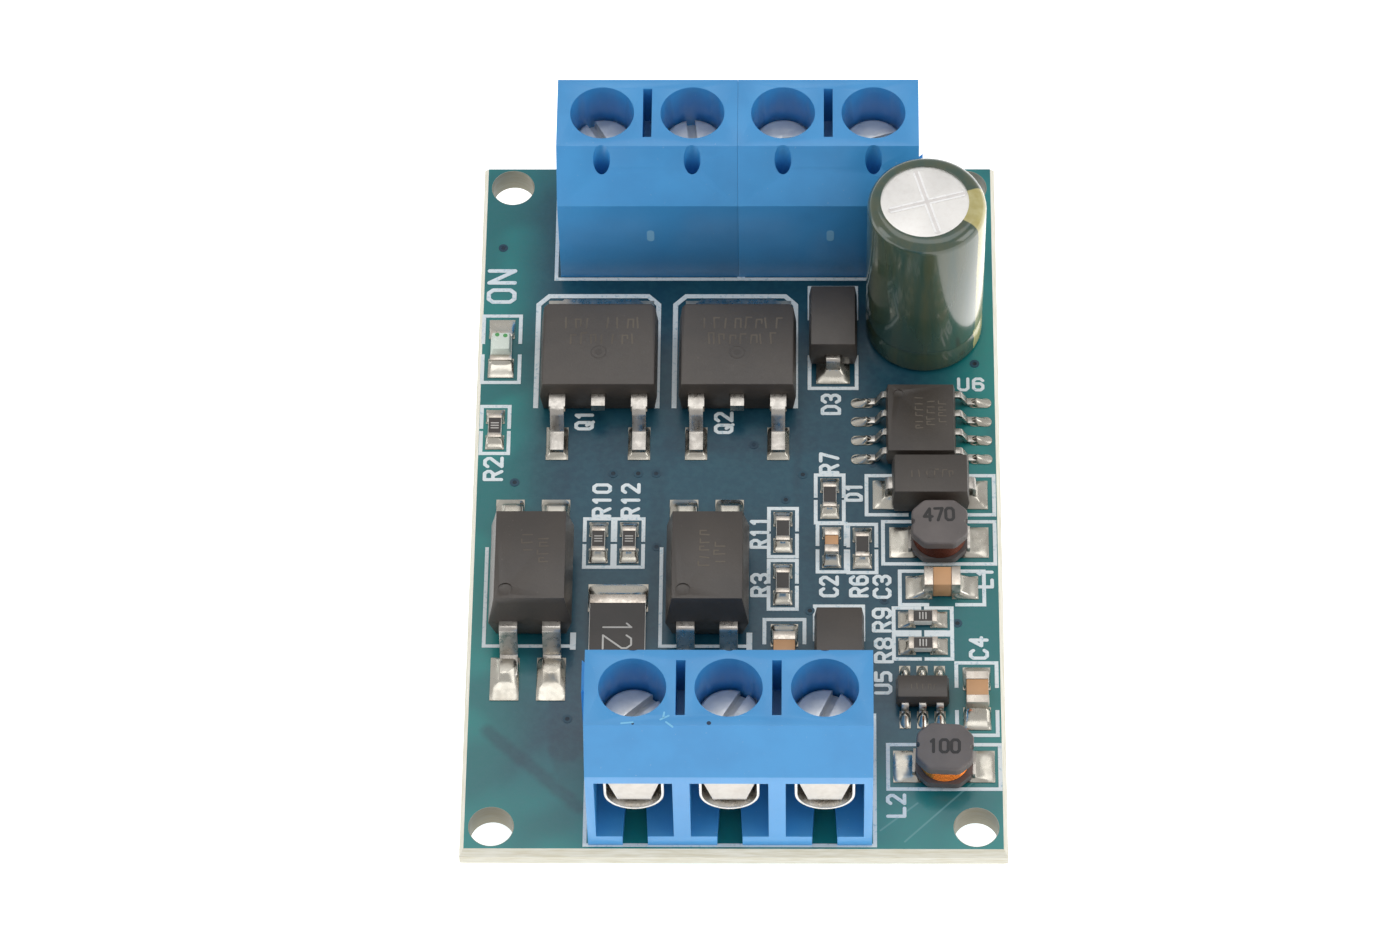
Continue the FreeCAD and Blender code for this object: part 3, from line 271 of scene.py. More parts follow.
def paint_board():
    """Solder mask on both faces, bare laminate on the scored edges, in the holes and round them. The mask is
    lighter towards the board's rim, a painted reflection, and the hole walls are darkened, painted shade.
    """
    paint = Paint("solder_mask", roughness=0.3)
    x, y, z = paint.axes()
    cloud = paint.noise(9.0, 2.0)
    side = paint.math("ABSOLUTE", x)
    # Painted reflection: the mask lightens towards the board's sides, front and back.
    edge = paint.step(paint.math("ADD", side, paint.math("MULTIPLY", cloud, 3.0)), 11.0, 15.5)
    front = paint.step(y, -14.0, -21.5)
    back = paint.step(y, 17.0, 23.0, 0.0, 0.55)
    rim = paint.math("MAXIMUM", edge, paint.math("MAXIMUM", front, back))
    mask = paint.mix(rim, MASK_MIDDLE, MASK_RIM_REFLECTION)
    patches = paint.step(paint.noise(5.0, 1.0), 0.42, 0.62)
    mask = paint.mix(paint.math("MULTIPLY", patches, 0.35), mask, MASK_DARK)
    ragged = paint.noise(0.8, 3.0)
    for start, end, half_width, depth in TRACES:
        apart = near_line(paint, x, y, start, end)
        soft = paint.math("ADD", apart, paint.math("MULTIPLY", ragged, 0.35))
        mask = paint.mix(paint.step(soft, half_width + 0.35, half_width - 0.1, 0.0, depth), mask, MASK_DARK)
    speckle = paint.step(paint.noise(0.35, 2.0), 0.35, 0.7)
    mask = paint.mix(paint.math("MULTIPLY", speckle, 0.14), mask, MASK_SPECKLE)
    for start, end in SCRATCHES:
        scratch = paint.step(near_line(paint, x, y, start, end), 0.07, 0.03, 0.0, 0.35)
        mask = paint.mix(scratch, mask, MASK_SCRATCH)

    layers = paint.noise(0.11, 2.0, stretch=(0.08, 0.08, 1.0))
    laminate = paint.ramp(layers, *LAMINATE)

    off_middle = paint.math("ABSOLUTE", paint.math("SUBTRACT", z, TOP / 2))
    covered = paint.math("GREATER_THAN", off_middle, TOP / 2 - MASK_DEPTH)
    holes = mounting_holes()
    for hole_x, hole_y in holes:
        clear = paint.math("GREATER_THAN", paint.distance(hole_x, hole_y), HOLE_RADIUS + MASK_CLEARANCE)
        covered = paint.math("MULTIPLY", covered, clear)
    # Painted shade: the laminate darkens inside each mounting hole.
    for hole_x, hole_y in holes:
        hole_shade = paint.step(paint.distance(hole_x, hole_y), HOLE_RADIUS + 0.05, HOLE_RADIUS + 0.01, 0.0, 0.72)
        laminate = paint.mix(hole_shade, laminate, HOLE_WALL_SHADE)
    paint.set(Base_Color=paint.mix(covered, laminate, mask))
    paint.set(Roughness=paint.mix(covered, (0.75,) * 3, (0.3,) * 3))
    paint.set(Coat_Weight=0.25, Coat_Roughness=0.12, Specular_IOR_Level=0.5)
    weave = paint.noise(0.28, 1.0)
    paint.bump(paint.math("ADD", weave, paint.math("MULTIPLY", layers, 0.6)), 0.012, 0.35)
    return paint.material


def paint_metal(name, colour, roughness, grain=0.35, depth=0.006, tarnish=(0.45, 0.41, 0.35), amount=0.35,
                stretch=None, metallic=1.0):
    """Bare plated metal: cloudy tarnish, uneven gloss and a fine surface grain."""
    paint = Paint(name, colour, roughness, metallic)
    cloud = paint.step(paint.noise(grain * 3, 4.0), 0.42, 0.72)
    fine = paint.noise(grain, 3.0, stretch=stretch)
    paint.set(Base_Color=paint.mix(paint.math("MULTIPLY", cloud, amount), colour, tarnish))
    paint.set(Roughness=paint.step(fine, 0.25, 0.8, max(roughness - 0.09, 0.04), roughness + 0.16))
    paint.bump(fine, depth, 0.5)
    return paint.material


def paint_plastic(name, colour, dark, roughness, grain=0.12, depth=0.008, specks=None, **shader):
    """Moulded plastic or epoxy: slow tone changes, fine grain, and specks of dust if given."""
    paint = Paint(name, colour, roughness)
    cloud = paint.step(paint.noise(2.6, 3.0), 0.3, 0.75)
    fine = paint.noise(grain, 4.0, 0.7)
    tone = paint.mix(cloud, colour, dark)
    if specks:
        dust = paint.step(paint.noise(0.16, 2.0, 0.7), 0.70, 0.78)
        tone = paint.mix(paint.math("MULTIPLY", dust, 0.5), tone, specks)
    paint.set(Base_Color=tone)
    paint.set(Roughness=paint.step(fine, 0.2, 0.8, roughness - 0.06, roughness + 0.12))
    paint.bump(fine, depth, 0.6)
    paint.set(**shader)
    return paint.material


def paint_sleeve():
    """Shrink film: dark green with a pale gold negative stripe on its +X side, and dye streaks."""
    paint = Paint("shrink_film", roughness=0.2)
    axis_x, axis_y = middle_of(*box_mm("capacitor_sleeve"))
    x, y, _ = paint.axes()
    dy = paint.math("SUBTRACT", y, axis_y)
    dx = paint.math("SUBTRACT", x, axis_x)
    around = paint.math("ARCTAN2", dy, dx)
    wobble = paint.math("MULTIPLY", paint.noise(1.6, 2.0), 0.12)
    apart = paint.math("ABSOLUTE", paint.math("SUBTRACT", paint.math("ADD", around, wobble), STRIPE_ANGLE))
    stripe = paint.step(apart, STRIPE_HALF_ANGLE + 0.03, STRIPE_HALF_ANGLE)
    streak = paint.step(paint.noise(0.9, 3.0, stretch=(1.0, 1.0, 0.12)), 0.35, 0.7)
    green = paint.mix(streak, (0.036, 0.075, 0.056), (0.070, 0.088, 0.050))
    gold = paint.mix(streak, (0.42, 0.36, 0.12), (0.52, 0.47, 0.22))
    paint.set(Base_Color=paint.mix(stripe, green, gold))
    paint.set(Coat_Weight=0.7, Coat_Roughness=0.08)
    paint.bump(paint.noise(0.8, 2.0, stretch=(1.0, 1.0, 0.3)), 0.02, 0.3)
    return paint.material


def paint_silk():
    """White legend ink, thin enough in places for the mask to tint it."""
    paint = Paint("legend_ink", roughness=0.6)
    thin = paint.step(paint.noise(0.22, 3.0, 0.65), 0.52, 0.75)
    paint.set(Base_Color=paint.mix(thin, (0.80, 0.86, 0.88), (0.46, 0.62, 0.70)))
    paint.bump(paint.noise(0.1), 0.006, 0.5)
    return paint.material


# -------------------- building pieces
RIBBON_STEP = 0.0001  # ribbons end at slightly different heights, so that none share a plane where they cross
RIBBON_STEPS = 97
END_OVERRUN = 0.4  # how far an open ribbon runs past its ends, in widths
STROKE_STEP = 0.0012
MOUND_RINGS = 16
MOUND_SIDES = 48


def new_piece(name, bm, material, body=ROOT, smooth=None):
    """Makes an object in metres from a bmesh in millimetres, rides it on a body and paints it."""
    bmesh.ops.scale(bm, vec=(MM,) * 3, verts=bm.verts)
    bmesh.ops.recalc_face_normals(bm, faces=bm.faces)
    mesh = bpy.data.meshes.new(name)
    bm.to_mesh(mesh)
    bm.free()
    mesh.materials.append(material)
    piece = bpy.data.objects.new(name, mesh)
    bpy.context.scene.collection.objects.link(piece)
    if smooth is not None:
        mesh.shade_smooth()
        mesh.set_sharp_from_angle(angle=math.radians(smooth))
    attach(piece, body)
    return piece


def ribbon(bm, points, width, low, high, closed=False):
    """A flat printed line with mitred corners; a closed one joins its last point to its first."""
    high += RIBBON_STEP * (len(bm.verts) % RIBBON_STEPS)
    points = [Vector(point).to_2d() for point in points]
    count = len(points)
    rings = []
    for index, point in enumerate(points):
        before = points[index - 1] if index or closed else None
        after = points[(index + 1) % count] if index < count - 1 or closed else None
        headings = []
        if before is not None:
            headings.append((point - before).normalized())
        if after is not None:
            headings.append((after - point).normalized())
        mean = sum(headings, Vector((0, 0)))
        mean = mean.normalized() if mean.length > 1e-3 else headings[0]
        spread = 1 / max(abs(mean.dot(headings[0])), 0.5)
        side = Vector((-mean.y, mean.x)) * width / 2 * spread
        push = Vector((0, 0))
        if before is None:
            push = -headings[0] * width * END_OVERRUN
        elif after is None:
            push = headings[-1] * width * END_OVERRUN
        ring = []
        for z in (low, high):
            for sign in (1, -1):
                place = point + push + side * sign
                ring.append(bm.verts.new((place.x, place.y, z)))
        rings.append(ring)
    spans = list(zip(rings, rings[1:]))
    if closed:
        spans.append((rings[-1], rings[0]))
    for a, b in spans:
        for i, j in ((0, 1), (1, 3), (3, 2), (2, 0)):
            bm.faces.new((a[i], a[j], b[j], b[i]))
    if not closed:
        for ring in (rings[0], rings[-1]):
            bm.faces.new((ring[0], ring[1], ring[3], ring[2]))


def stroke(bm, points, width, low, high, sides=5):
    """A printed pen stroke: one round-ended bar per run, each a hair higher than the one before it."""
    for index, (start, end) in enumerate(zip(points, points[1:])):
        start, end = Vector(start), Vector(end)
        heading = (end - start).normalized()
        side = Vector((-heading.y, heading.x)) * width / 2
        rim = []
        for centre, sign in ((end, -1), (start, 1)):
            for step in range(sides + 1):
                angle = math.pi * step / sides
                across = side * sign * math.cos(angle)
                rim.append(centre + across - heading * sign * math.sin(angle) * width / 2)
        top = high + index * STROKE_STEP
        upper = [bm.verts.new((point.x, point.y, top)) for point in rim]
        lower = [bm.verts.new((point.x, point.y, low)) for point in rim]
        bm.faces.new(upper)
        bm.faces.new(lower)
        for k in range(len(rim)):
            after = (k + 1) % len(rim)
            bm.faces.new((upper[k], upper[after], lower[after], lower[k]))


def disc(bm, x, y, radius, low, high, sides=20, rise=0.0):
    """A flat round spot, domed in its middle by rise."""
    ring = circle(x, y, radius, sides)
    upper = [bm.verts.new((a, b, high)) for a, b in ring]
    lower = [bm.verts.new((a, b, low)) for a, b in ring]
    middle = bm.verts.new((x, y, high + rise))
    bm.faces.new(lower)
    for k in range(sides):
        after = (k + 1) % sides
        bm.faces.new((upper[k], upper[after], middle))
        bm.faces.new((upper[k], upper[after], lower[after], lower[k]))


def mound(bm, centre, half, base, height, corner):
    """
    A closed heap on a rounded rectangle; height gives the Z above base at (x, y, r), r being 0 to 1.
    A corner of 1 makes the base an ellipse and 0 makes it nearly a rectangle.
    """
    rim = []
    for index in range(MOUND_SIDES):
        angle = 2 * math.pi * (index + 0.5) / MOUND_SIDES
        c, s = math.cos(angle), math.sin(angle)
        power = 2 / (2 + 6 * (1 - corner))
        rim.append(Vector((
            math.copysign(abs(c) ** power, c) * half[0],
            math.copysign(abs(s) ** power, s) * half[1],
        )))
    loops = []
    for ring in range(1, MOUND_RINGS + 1):
        r = (ring / MOUND_RINGS) ** 0.8
        loop = []
        for point in rim:
            x, y = centre[0] + point.x * r, centre[1] + point.y * r
            loop.append(bm.verts.new((x, y, base + height(x, y, r))))
        loops.append(loop)
    middle = bm.verts.new((centre[0], centre[1], base + height(centre[0], centre[1], 0.0)))
    bottom = [bm.verts.new((vertex.co.x, vertex.co.y, base)) for vertex in loops[-1]]
    for index in range(MOUND_SIDES):
        after = (index + 1) % MOUND_SIDES
        bm.faces.new((middle, loops[0][index], loops[0][after]))
        for inner, outer in zip(loops, loops[1:]):
            bm.faces.new((inner[index], outer[index], outer[after], inner[after]))
        bm.faces.new((loops[-1][index], bottom[index], bottom[after], loops[-1][after]))
    bm.faces.new(bottom)


# -------------------- solder on the pads
METAL_FEET = [
    "chip_resistor_end_caps", "power_resistor_end_caps", "ceramic_capacitor_end_caps", "lamp_terminals",
    "transistor_q1_leads", "transistor_q2_leads", "left_optocoupler_leads", "right_optocoupler_leads",
    "gate_driver_leads", "regulator_leads", "diode_leads", "inductor_terminals",
]
CAP_NODES = ("end_caps", "lamp_terminals")
FOOT_CLIMB = {
    "left_optocoupler_leads": 0.34, "right_optocoupler_leads": 0.34, "gate_driver_leads": 0.26,
    "diode_leads": 0.42, "regulator_leads": 0.3,
}
OTHER_CLIMB = 0.18
MOST_CLIMB = 0.55
CAP_CLIMB = 0.62  # share of an end cap's height
FOOT_HEIGHT = 0.12  # the lowest part of a lead, which counts as its foot
SEAT_REACH = 0.05  # a foot stands on a pad when its underside is this near to the pads' top
BARE_PAD = 6  # a quarter of a pad's area in square millimetres: larger pads keep a plain face
SLIM_PAD = 0.35  # half width of the pads whose solder is a long bead
SLIM_SKIN = 0.17
SLIM_CORNER, WIDE_CORNER = 1.0, 0.3
SLIM_FALL, WIDE_FALL = 2, 6  # the higher, the steeper the solder's rim
SOLDER_EDGE = 0.004


def feet():
    """The footprint of each metal end that is soldered to a pad, with how high solder climbs it."""
    found = []
    for node in METAL_FEET:
        for (low, high), (foot_low, foot_high) in zip(islands(node), islands(node, below=FOOT_HEIGHT)):
            if abs(low.z - SEAT) > SEAT_REACH:
                continue
            is_cap = any(word in node for word in CAP_NODES)
            climb = (high.z - low.z) * CAP_CLIMB if is_cap else FOOT_CLIMB.get(node, OTHER_CLIMB)
            found.append((foot_low, foot_high, min(climb, MOST_CLIMB)))
    return found


def solder_on_pads(material):
    """All but the largest pads carry a skin of solder that rises to the foot standing on them."""
    standing = feet()
    bm = bmesh.new()
    for low, high in PADS:
        centre = (low + high) / 2
        half = (high - low) / 2
        if half.x * half.y > BARE_PAD:
            continue
        here = [
            foot for foot in standing
            if foot[0].x < high.x and foot[1].x > low.x and foot[0].y < high.y and foot[1].y > low.y
        ]
        slim = min(half.x, half.y) < SLIM_PAD
        skin = SLIM_SKIN if slim else RANDOM.uniform(0.04, 0.09)
        fall = SLIM_FALL if slim else WIDE_FALL
        lean_x, lean_y = RANDOM.uniform(-0.25, 0.25), RANDOM.uniform(-0.25, 0.25)

        def height(x, y, r):
            """The solder's height above the pad."""
            lean = 1 + lean_x * (x - centre.x) / half.x + lean_y * (y - centre.y) / half.y
            rise = skin * lean
            for foot_low, foot_high, climb in here:
                dx = max(foot_low.x - x, 0, x - foot_high.x)
                dy = max(foot_low.y - y, 0, y - foot_high.y)
                rise += climb * math.exp(-math.hypot(dx, dy) / (0.45 * climb + 0.06))
            return rise * max(1 - r ** fall, 0.0) + SOLDER_EDGE

        mound(bm, centre, half, SEAT, height, SLIM_CORNER if slim else WIDE_CORNER)
    new_piece("pad_solder", bm, material, smooth=60)


# -------------------- printed legend
LINE = 0.21
INK_LOW = TOP - 0.01
INK_HIGH = TOP + 0.02
# Pen paths of each letter on a grid 4 wide and 6 high.
GLYPHS = {
    "0": [[(1, 0), (3, 0), (4, 1), (4, 5), (3, 6), (1, 6), (0, 5), (0, 1), (1, 0)]],
    "1": [[(1, 5), (2.2, 6), (2.2, 0)]],
    "2": [[(0, 5), (1, 6), (3, 6), (4, 5), (4, 4), (0, 0), (4.2, 0)]],
    "3": [[(0, 5), (1, 6), (3, 6), (4, 5), (4, 4), (3, 3), (1.5, 3)],
          [(3, 3), (4, 2), (4, 1), (3, 0), (1, 0), (0, 1)]],
    "4": [[(3, 0), (3, 6), (0, 2), (4.2, 2)]],
    "5": [[(4, 6), (0, 6), (0, 3.5), (3, 3.5), (4, 2.5), (4, 1), (3, 0), (0, 0)]],
    "6": [[(4, 5), (3, 6), (1, 6), (0, 5), (0, 1), (1, 0), (3, 0), (4, 1), (4, 2.4), (3, 3.4), (0.3, 3.4)]],
    "7": [[(0, 6), (4, 6), (1.5, 0)]],
    "8": [[(1, 3), (0, 4), (0, 5), (1, 6), (3, 6), (4, 5), (4, 4), (3, 3),
           (1, 3), (0, 2), (0, 1), (1, 0), (3, 0), (4, 1), (4, 2), (3, 3)]],
    "9": [[(0, 1), (1, 0), (3, 0), (4, 1), (4, 5), (3, 6), (1, 6), (0, 5), (0, 3.6), (1, 2.6), (3.7, 2.6)]],
    "C": [[(4, 5), (3, 6), (1, 6), (0, 5), (0, 1), (1, 0), (3, 0), (4, 1)]],
    "D": [[(0, 0), (0, 6), (2.5, 6), (4, 4.5), (4, 1.5), (2.5, 0), (0, 0)]],
    "L": [[(0, 6), (0, 0), (4, 0)]],
    "N": [[(0, 0), (0, 6), (4, 0), (4, 6)]],
    "O": [[(1, 0), (3, 0), (4, 1), (4, 5), (3, 6), (1, 6), (0, 5), (0, 1), (1, 0)]],
    "Q": [[(1, 0), (3, 0), (4, 1), (4, 5), (3, 6), (1, 6), (0, 5), (0, 1), (1, 0)], [(2.3, 2), (4.3, -0.4)]],
    "R": [[(0, 0), (0, 6), (3, 6), (4, 5), (4, 4), (3, 3), (0, 3)], [(2, 3), (4, 0)]],
    "U": [[(0, 6), (0, 1), (1, 0), (3, 0), (4, 1), (4, 6)]],
}
# Each mark: text, and the low X, high X, low Y and high Y that it fills, read from -Y to +Y.
MARKS = [
    ("ON", -14.35, -12.65, 13.15, 15.85), ("R2", -14.2, -13.05, 1.0, 2.75), ("Q1", -9.15, -8.05, 4.45, 5.85),
    ("Q2", -1.3, -0.2, 4.2, 5.8), ("D3", 4.7, 5.85, 5.5, 7.05), ("R7", 4.6, 5.75, 1.5, 3.05),
    ("D1", 6.0, 7.05, -0.35, 0.95), ("R10", -8.05, -6.95, -1.44, 0.95), ("R12", -6.45, -5.35, -1.44, 0.95),
    ("R11", 0.75, 1.85, -3.5, -1.3), ("R3", 0.8, 1.9, -6.7, -5.0), ("C2", 4.6, 5.7, -6.7, -5.2),
    ("R6", 6.25, 7.35, -6.7, -5.15), ("C3", 7.55, 8.6, -6.8, -5.1), ("L1", 13.25, 14.25, -6.1, -4.65),
    ("R9", 7.5, 8.6, -9.0, -7.25), ("R8", 7.6, 8.7, -11.0, -9.2), ("U5", 7.6, 8.6, -13.0, -11.4),
    ("C4", 12.8, 13.9, -10.75, -9.15), ("L2", 8.2, 9.3, -20.8, -19.2),
]


def write(bm, text, corner, along, up, size, advance, width, low, high, fill=0.62):
    """Strokes of text from its lower left corner; along and up are unit vectors in the plane."""
    inset = width / 2
    for index, letter in enumerate(text):
        for path in GLYPHS[letter]:
            points = []
            for a, b in path:
                across = (index + 0.1 + fill * a / 4) * advance
                points.append(corner + along * across + up * (inset + b / 6 * (size - 2 * inset)))
            stroke(bm, points, width, low, high)


def outline(bm, x, y, half_x, half_y, gap_axis, gap):
    """A printed rectangle; with a gap axis, its two sides along that axis are broken in the middle."""
    corners = [(x - half_x, y - half_y), (x + half_x, y - half_y),
               (x + half_x, y + half_y), (x - half_x, y + half_y)]
    if gap_axis is None:
        ribbon(bm, corners, LINE, INK_LOW, INK_HIGH, closed=True)
        return
    for sign in (-1, 1):
        if gap_axis == "Y":
            start = y + sign * gap
            end = y + sign * half_y
            path = [(x - half_x, start), (x - half_x, end), (x + half_x, end), (x + half_x, start)]
        else:
            start = x + sign * gap
            end = x + sign * half_x
            path = [(start, y - half_y), (end, y - half_y), (end, y + half_y), (start, y + half_y)]
        ribbon(bm, path, LINE, INK_LOW, INK_HIGH)


# Outlines: the node they frame, half size along X and along Y, broken axis and half gap.
OUTLINES = {
    "lamp_base": (1.05, 2.3, "Y", 0.45),
    "diode_d1_body": (3.55, 1.31, "X", 1.3),
    "diode_d2_body": (1.33, 3.5, "Y", 1.3),
    "diode_d3_body": (1.33, 3.5, "Y", 1.3),
    "inductor_l1_core": (3.1, 1.4, None, 0),
    "inductor_l2_core": (3.03, 1.4, None, 0),
}
# Outlines of the two-ended chips: half width, half length and half gap.
RESISTOR_OUTLINE = (0.78, 1.6, 0.16)
SLIM_CERAMIC_OUTLINE = (0.78, 1.6, 0.2)
WIDE_CERAMIC_OUTLINE = (1.1, 2.32, 0.8)
WIDE_CERAMIC = 0.9  # width above which a ceramic capacitor has the larger outline
PAD_REACH = 2.2  # pads nearer than this to a chip's middle are its own
TRANSISTOR_HALF, TRANSISTOR_CUT, TRANSISTOR_LINE = 3.42, 0.6, 0.28
OPTOCOUPLER_LINE = 0.2
OPTOCOUPLER_END_LINE = 0.32
# How far each terminal's outline stands out on its left and on its right.
TERMINAL_OUTLINES = {
    "front_terminal_housing": (-0.05, 0.16),
    "rear_left_terminal_housing": (0.27, 0.0),
    "rear_right_terminal_housing": (0.0, 0.2),
}
TERMINAL_MARGIN = 0.15  # in front of a terminal and behind it
BOARD_MARGIN = 0.45  # printed lines stay this far inside the board's front and rear edges


def oriented_outline(bm, x, y, upright, across, length, gap):
    """The printed frame of a two-ended chip, broken at the middle of its long sides."""
    if upright:
        outline(bm, x, y, across, length, "Y", gap)
    else:
        outline(bm, x, y, length, across, "X", gap)


def stands_upright(x, y):
    """Whether the chip at (x, y) has its pads in front of it and behind it."""
    pads = [middle_of(*pad) for pad in PADS]
    return any(abs(pad_x - x) < 0.1 and abs(pad_y - y) < PAD_REACH for pad_x, pad_y in pads)


def print_outlines(bm):
    """The printed frames round the parts."""
    across, length, gap = RESISTOR_OUTLINE
    for low, high in islands("chip_resistor_bodies"):
        upright = high.y - low.y > high.x - low.x
        oriented_outline(bm, *middle_of(low, high), upright, across, length, gap)
    for low, high in islands("ceramic_capacitor_bodies"):
        x, y = middle_of(low, high)
        wide = min(high.x - low.x, high.y - low.y) > WIDE_CERAMIC
        across, length, gap = WIDE_CERAMIC_OUTLINE if wide else SLIM_CERAMIC_OUTLINE
        oriented_outline(bm, x, y, stands_upright(x, y), across, length, gap)
    for node, (half_x, half_y, axis, gap) in OUTLINES.items():
        outline(bm, *middle_of(*box_mm(node)), half_x, half_y, axis, gap)
    for node in ("transistor_q1_body", "transistor_q2_body"):
        low, high = box_mm(node)
        x, front, back = (low.x + high.x) / 2 - 0.16, low.y + 0.35, high.y + 2.15
        left, right, cut = x - TRANSISTOR_HALF, x + TRANSISTOR_HALF, TRANSISTOR_CUT
        path = [(left, front), (left, back - cut), (left + cut, back),
                (right - cut, back), (right, back - cut), (right, front)]
        ribbon(bm, path, TRANSISTOR_LINE, INK_LOW, INK_HIGH)
    for node in ("left_optocoupler_body", "right_optocoupler_body"):
        low, high = box_mm(node)
        left, right, front = low.x - 0.33, high.x + 0.02, low.y - 0.27
        frame_path = [(left, front + 6.4), (left, front), (right, front)]
        ribbon(bm, frame_path, OPTOCOUPLER_LINE, INK_LOW, INK_HIGH)
        end_path = [(right, front - 0.1), (right, front + 0.75)]
        ribbon(bm, end_path, OPTOCOUPLER_END_LINE, INK_LOW, INK_HIGH + 0.002)
    for node, (left_out, right_out) in TERMINAL_OUTLINES.items():
        low, high = box_mm(node)
        near = max(low.y - TERMINAL_MARGIN, BOARD_LOW.y + BOARD_MARGIN)
        far = min(high.y + TERMINAL_MARGIN, BOARD_HIGH.y - BOARD_MARGIN)
        left, right = low.x - left_out, high.x + right_out
        corners = [(left, near), (right, near), (right, far), (left, far)]
        ribbon(bm, corners, LINE, INK_LOW, INK_HIGH, closed=True)


def print_legend(material):
    """Outlines round the parts and their reference marks."""
    bm = bmesh.new()
    print_outlines(bm)
    for text, x_low, x_high, y_low, y_high in MARKS:
        size = x_high - x_low
        width = 0.2 if size < 1.4 else 0.24
        write(bm, text, Vector((x_high, y_low)), Vector((0, 1)), Vector((-1, 0)), size,
              (y_high - y_low) / len(text), width, INK_LOW, INK_HIGH)
    write(bm, "U6", Vector((12.4, 7.1)), Vector((1, 0)), Vector((0, 1)), 0.95, 0.84, 0.18, INK_LOW, INK_HIGH)
    new_piece("printed_legend", bm, material)


# -------------------- marks on the parts
INK_FILM = 0.006
INK_ROOT = 0.01  # how far an ink mark reaches down into its part
PIT_ROOT = 0.02
VIA_RADIUS = 0.2
VIA_RING = 0.14
VIA_HOLE = 0.13
VENT_ANGLE = 16  # degrees from +X to the first groove
VENT_HALF_LENGTH = 2.1
VENT_RIDGE_OFFSET = 0.14
VENT_RIDGE_WIDTH = 0.11
VENT_FLOOR_WIDTH = 0.34
VENT_ROOT = 0.03
VENT_EDGE = 0.03
# Each shaving: X, how far behind the edge it starts, its heading in radians and its length.
SHAVINGS = [(-3.75, 0.35, 0.5, 0.5), (-3.45, 0.2, -0.7, 0.45), (-3.6, 0.5, 1.4, 0.3), (-5.8, 0.12, 0.1, 0.6)]
# Each pit: X, how far behind the edge it is, and its radius.
PITS = [(-1.2, 0.14, 0.12), (-5.2, 0.1, 0.07)]
GATE_LOW, GATE_HIGH = 3.7, 4.3  # above the board
GATE_WIDTH = 0.42


def film(top, rise=INK_FILM):
    """The lowest and highest Z of an ink mark on a face at the given height."""
    return top - INK_ROOT, top + rise


def value_marks(material):
    """Plain numbers on the inductors: dark ink, read from the 3-pole end."""
    bm = bmesh.new()
    rows = [("inductor_l1_core", "470", 2, 0.45), ("inductor_l2_core", "100", -1, 0.0)]
    for node, text, turn, shift in rows:
        low, high = box_mm(node)
        x, y = middle_of(low, high)
        turn = math.radians(turn)
        along = Vector((math.cos(turn), math.sin(turn)))
        up = Vector((-along.y, along.x))
        size, advance = 0.95, 0.6
        corner = Vector((x, y)) - along * advance * 1.5 + up * (shift - size / 2)
        write(bm, text, corner, along, up, size, advance, 0.17, *film(high.z), 0.7)
    new_piece("inductor_values", bm, material)


def resistor_mark(material):
    """Pale ink: the plain value on the large resistor, read from the -X side, and bars on small ones."""
    bm = bmesh.new()
    low, high = box_mm("power_resistor_overcoat")
    x = middle_of(low, high)[0]
    start = Vector((x - 0.82, high.y - 1.02))
    write(bm, "12", start, Vector((0, -1)), Vector((1, 0)), 1.65, 0.98, 0.1, *film(high.z), 0.85)
    reach, pitch = 0.2, 0.17
    for low, high in islands("chip_resistor_overcoats"):
        x, y = middle_of(low, high)
        upright = high.y - low.y > high.x - low.x
        if upright and x >= 0:
            continue
        for k in range(3):
            offset = (k - 1) * pitch
            if upright:
                ends = [Vector((x - reach, y + offset)), Vector((x + reach, y + offset))]
            else:
                ends = [Vector((x + offset, y - reach)), Vector((x + offset, y + reach))]
            stroke(bm, ends, 0.07, *film(high.z))
    new_piece("resistor_marks", bm, material)


def faint_rows(bm, x, y, top, along, up, rows, size, pitch):
    """Rows of short unreadable ticks that stand in for laser marking."""
    for row, ticks in enumerate(rows):
        for tick in range(ticks):
            if RANDOM.random() < 0.12:
                continue
            base = Vector((x, y)) + along * (tick - (ticks - 1) / 2) * pitch - up * row * size * 1.45
            lean = RANDOM.uniform(-0.12, 0.12)
            height = size * RANDOM.uniform(0.75, 1.0)
            points = [base, base + up * height + along * lean * pitch]
            if RANDOM.random() < 0.6:
                points.append(points[-1] + along * pitch * 0.5)
            if RANDOM.random() < 0.5:
                points.append(points[-1] - up * height * RANDOM.uniform(0.4, 1.0))
            stroke(bm, points, size * 0.13, *film(top, INK_FILM * 0.6), 3)


def laser_marks(material):
    """Faint unreadable marking on the tops of the moulded packages."""
    bm = bmesh.new()
    right, back = Vector((1, 0)), Vector((0, 1))
    for node in ("transistor_q1_body", "transistor_q2_body"):
        low, high = box_mm(node)
        x, y = middle_of(low, high)
        faint_rows(bm, x + 0.15, y + 1.1, high.z, right, back, (8, 7), 0.74, 0.58)
    for node, rows, size, pitch in (
        ("left_optocoupler_body", (5, 4), 0.6, 0.5), ("right_optocoupler_body", (5, 4), 0.6, 0.5),
        ("gate_driver_body", (6, 5, 4), 0.45, 0.4), ("diode_d1_body", (6,), 0.5, 0.42),
        ("regulator_body", (5,), 0.35, 0.3),
    ):
        low, high = box_mm(node)
        x, y = middle_of(low, high)
        if node in ("diode_d1_body", "regulator_body"):
            faint_rows(bm, x, y - size / 2, high.z, right, back, rows, size, pitch)
        else:
            faint_rows(bm, x + 0.1, y + 0.3, high.z, back, -right, rows, size, pitch)
    new_piece("laser_marks", bm, material)


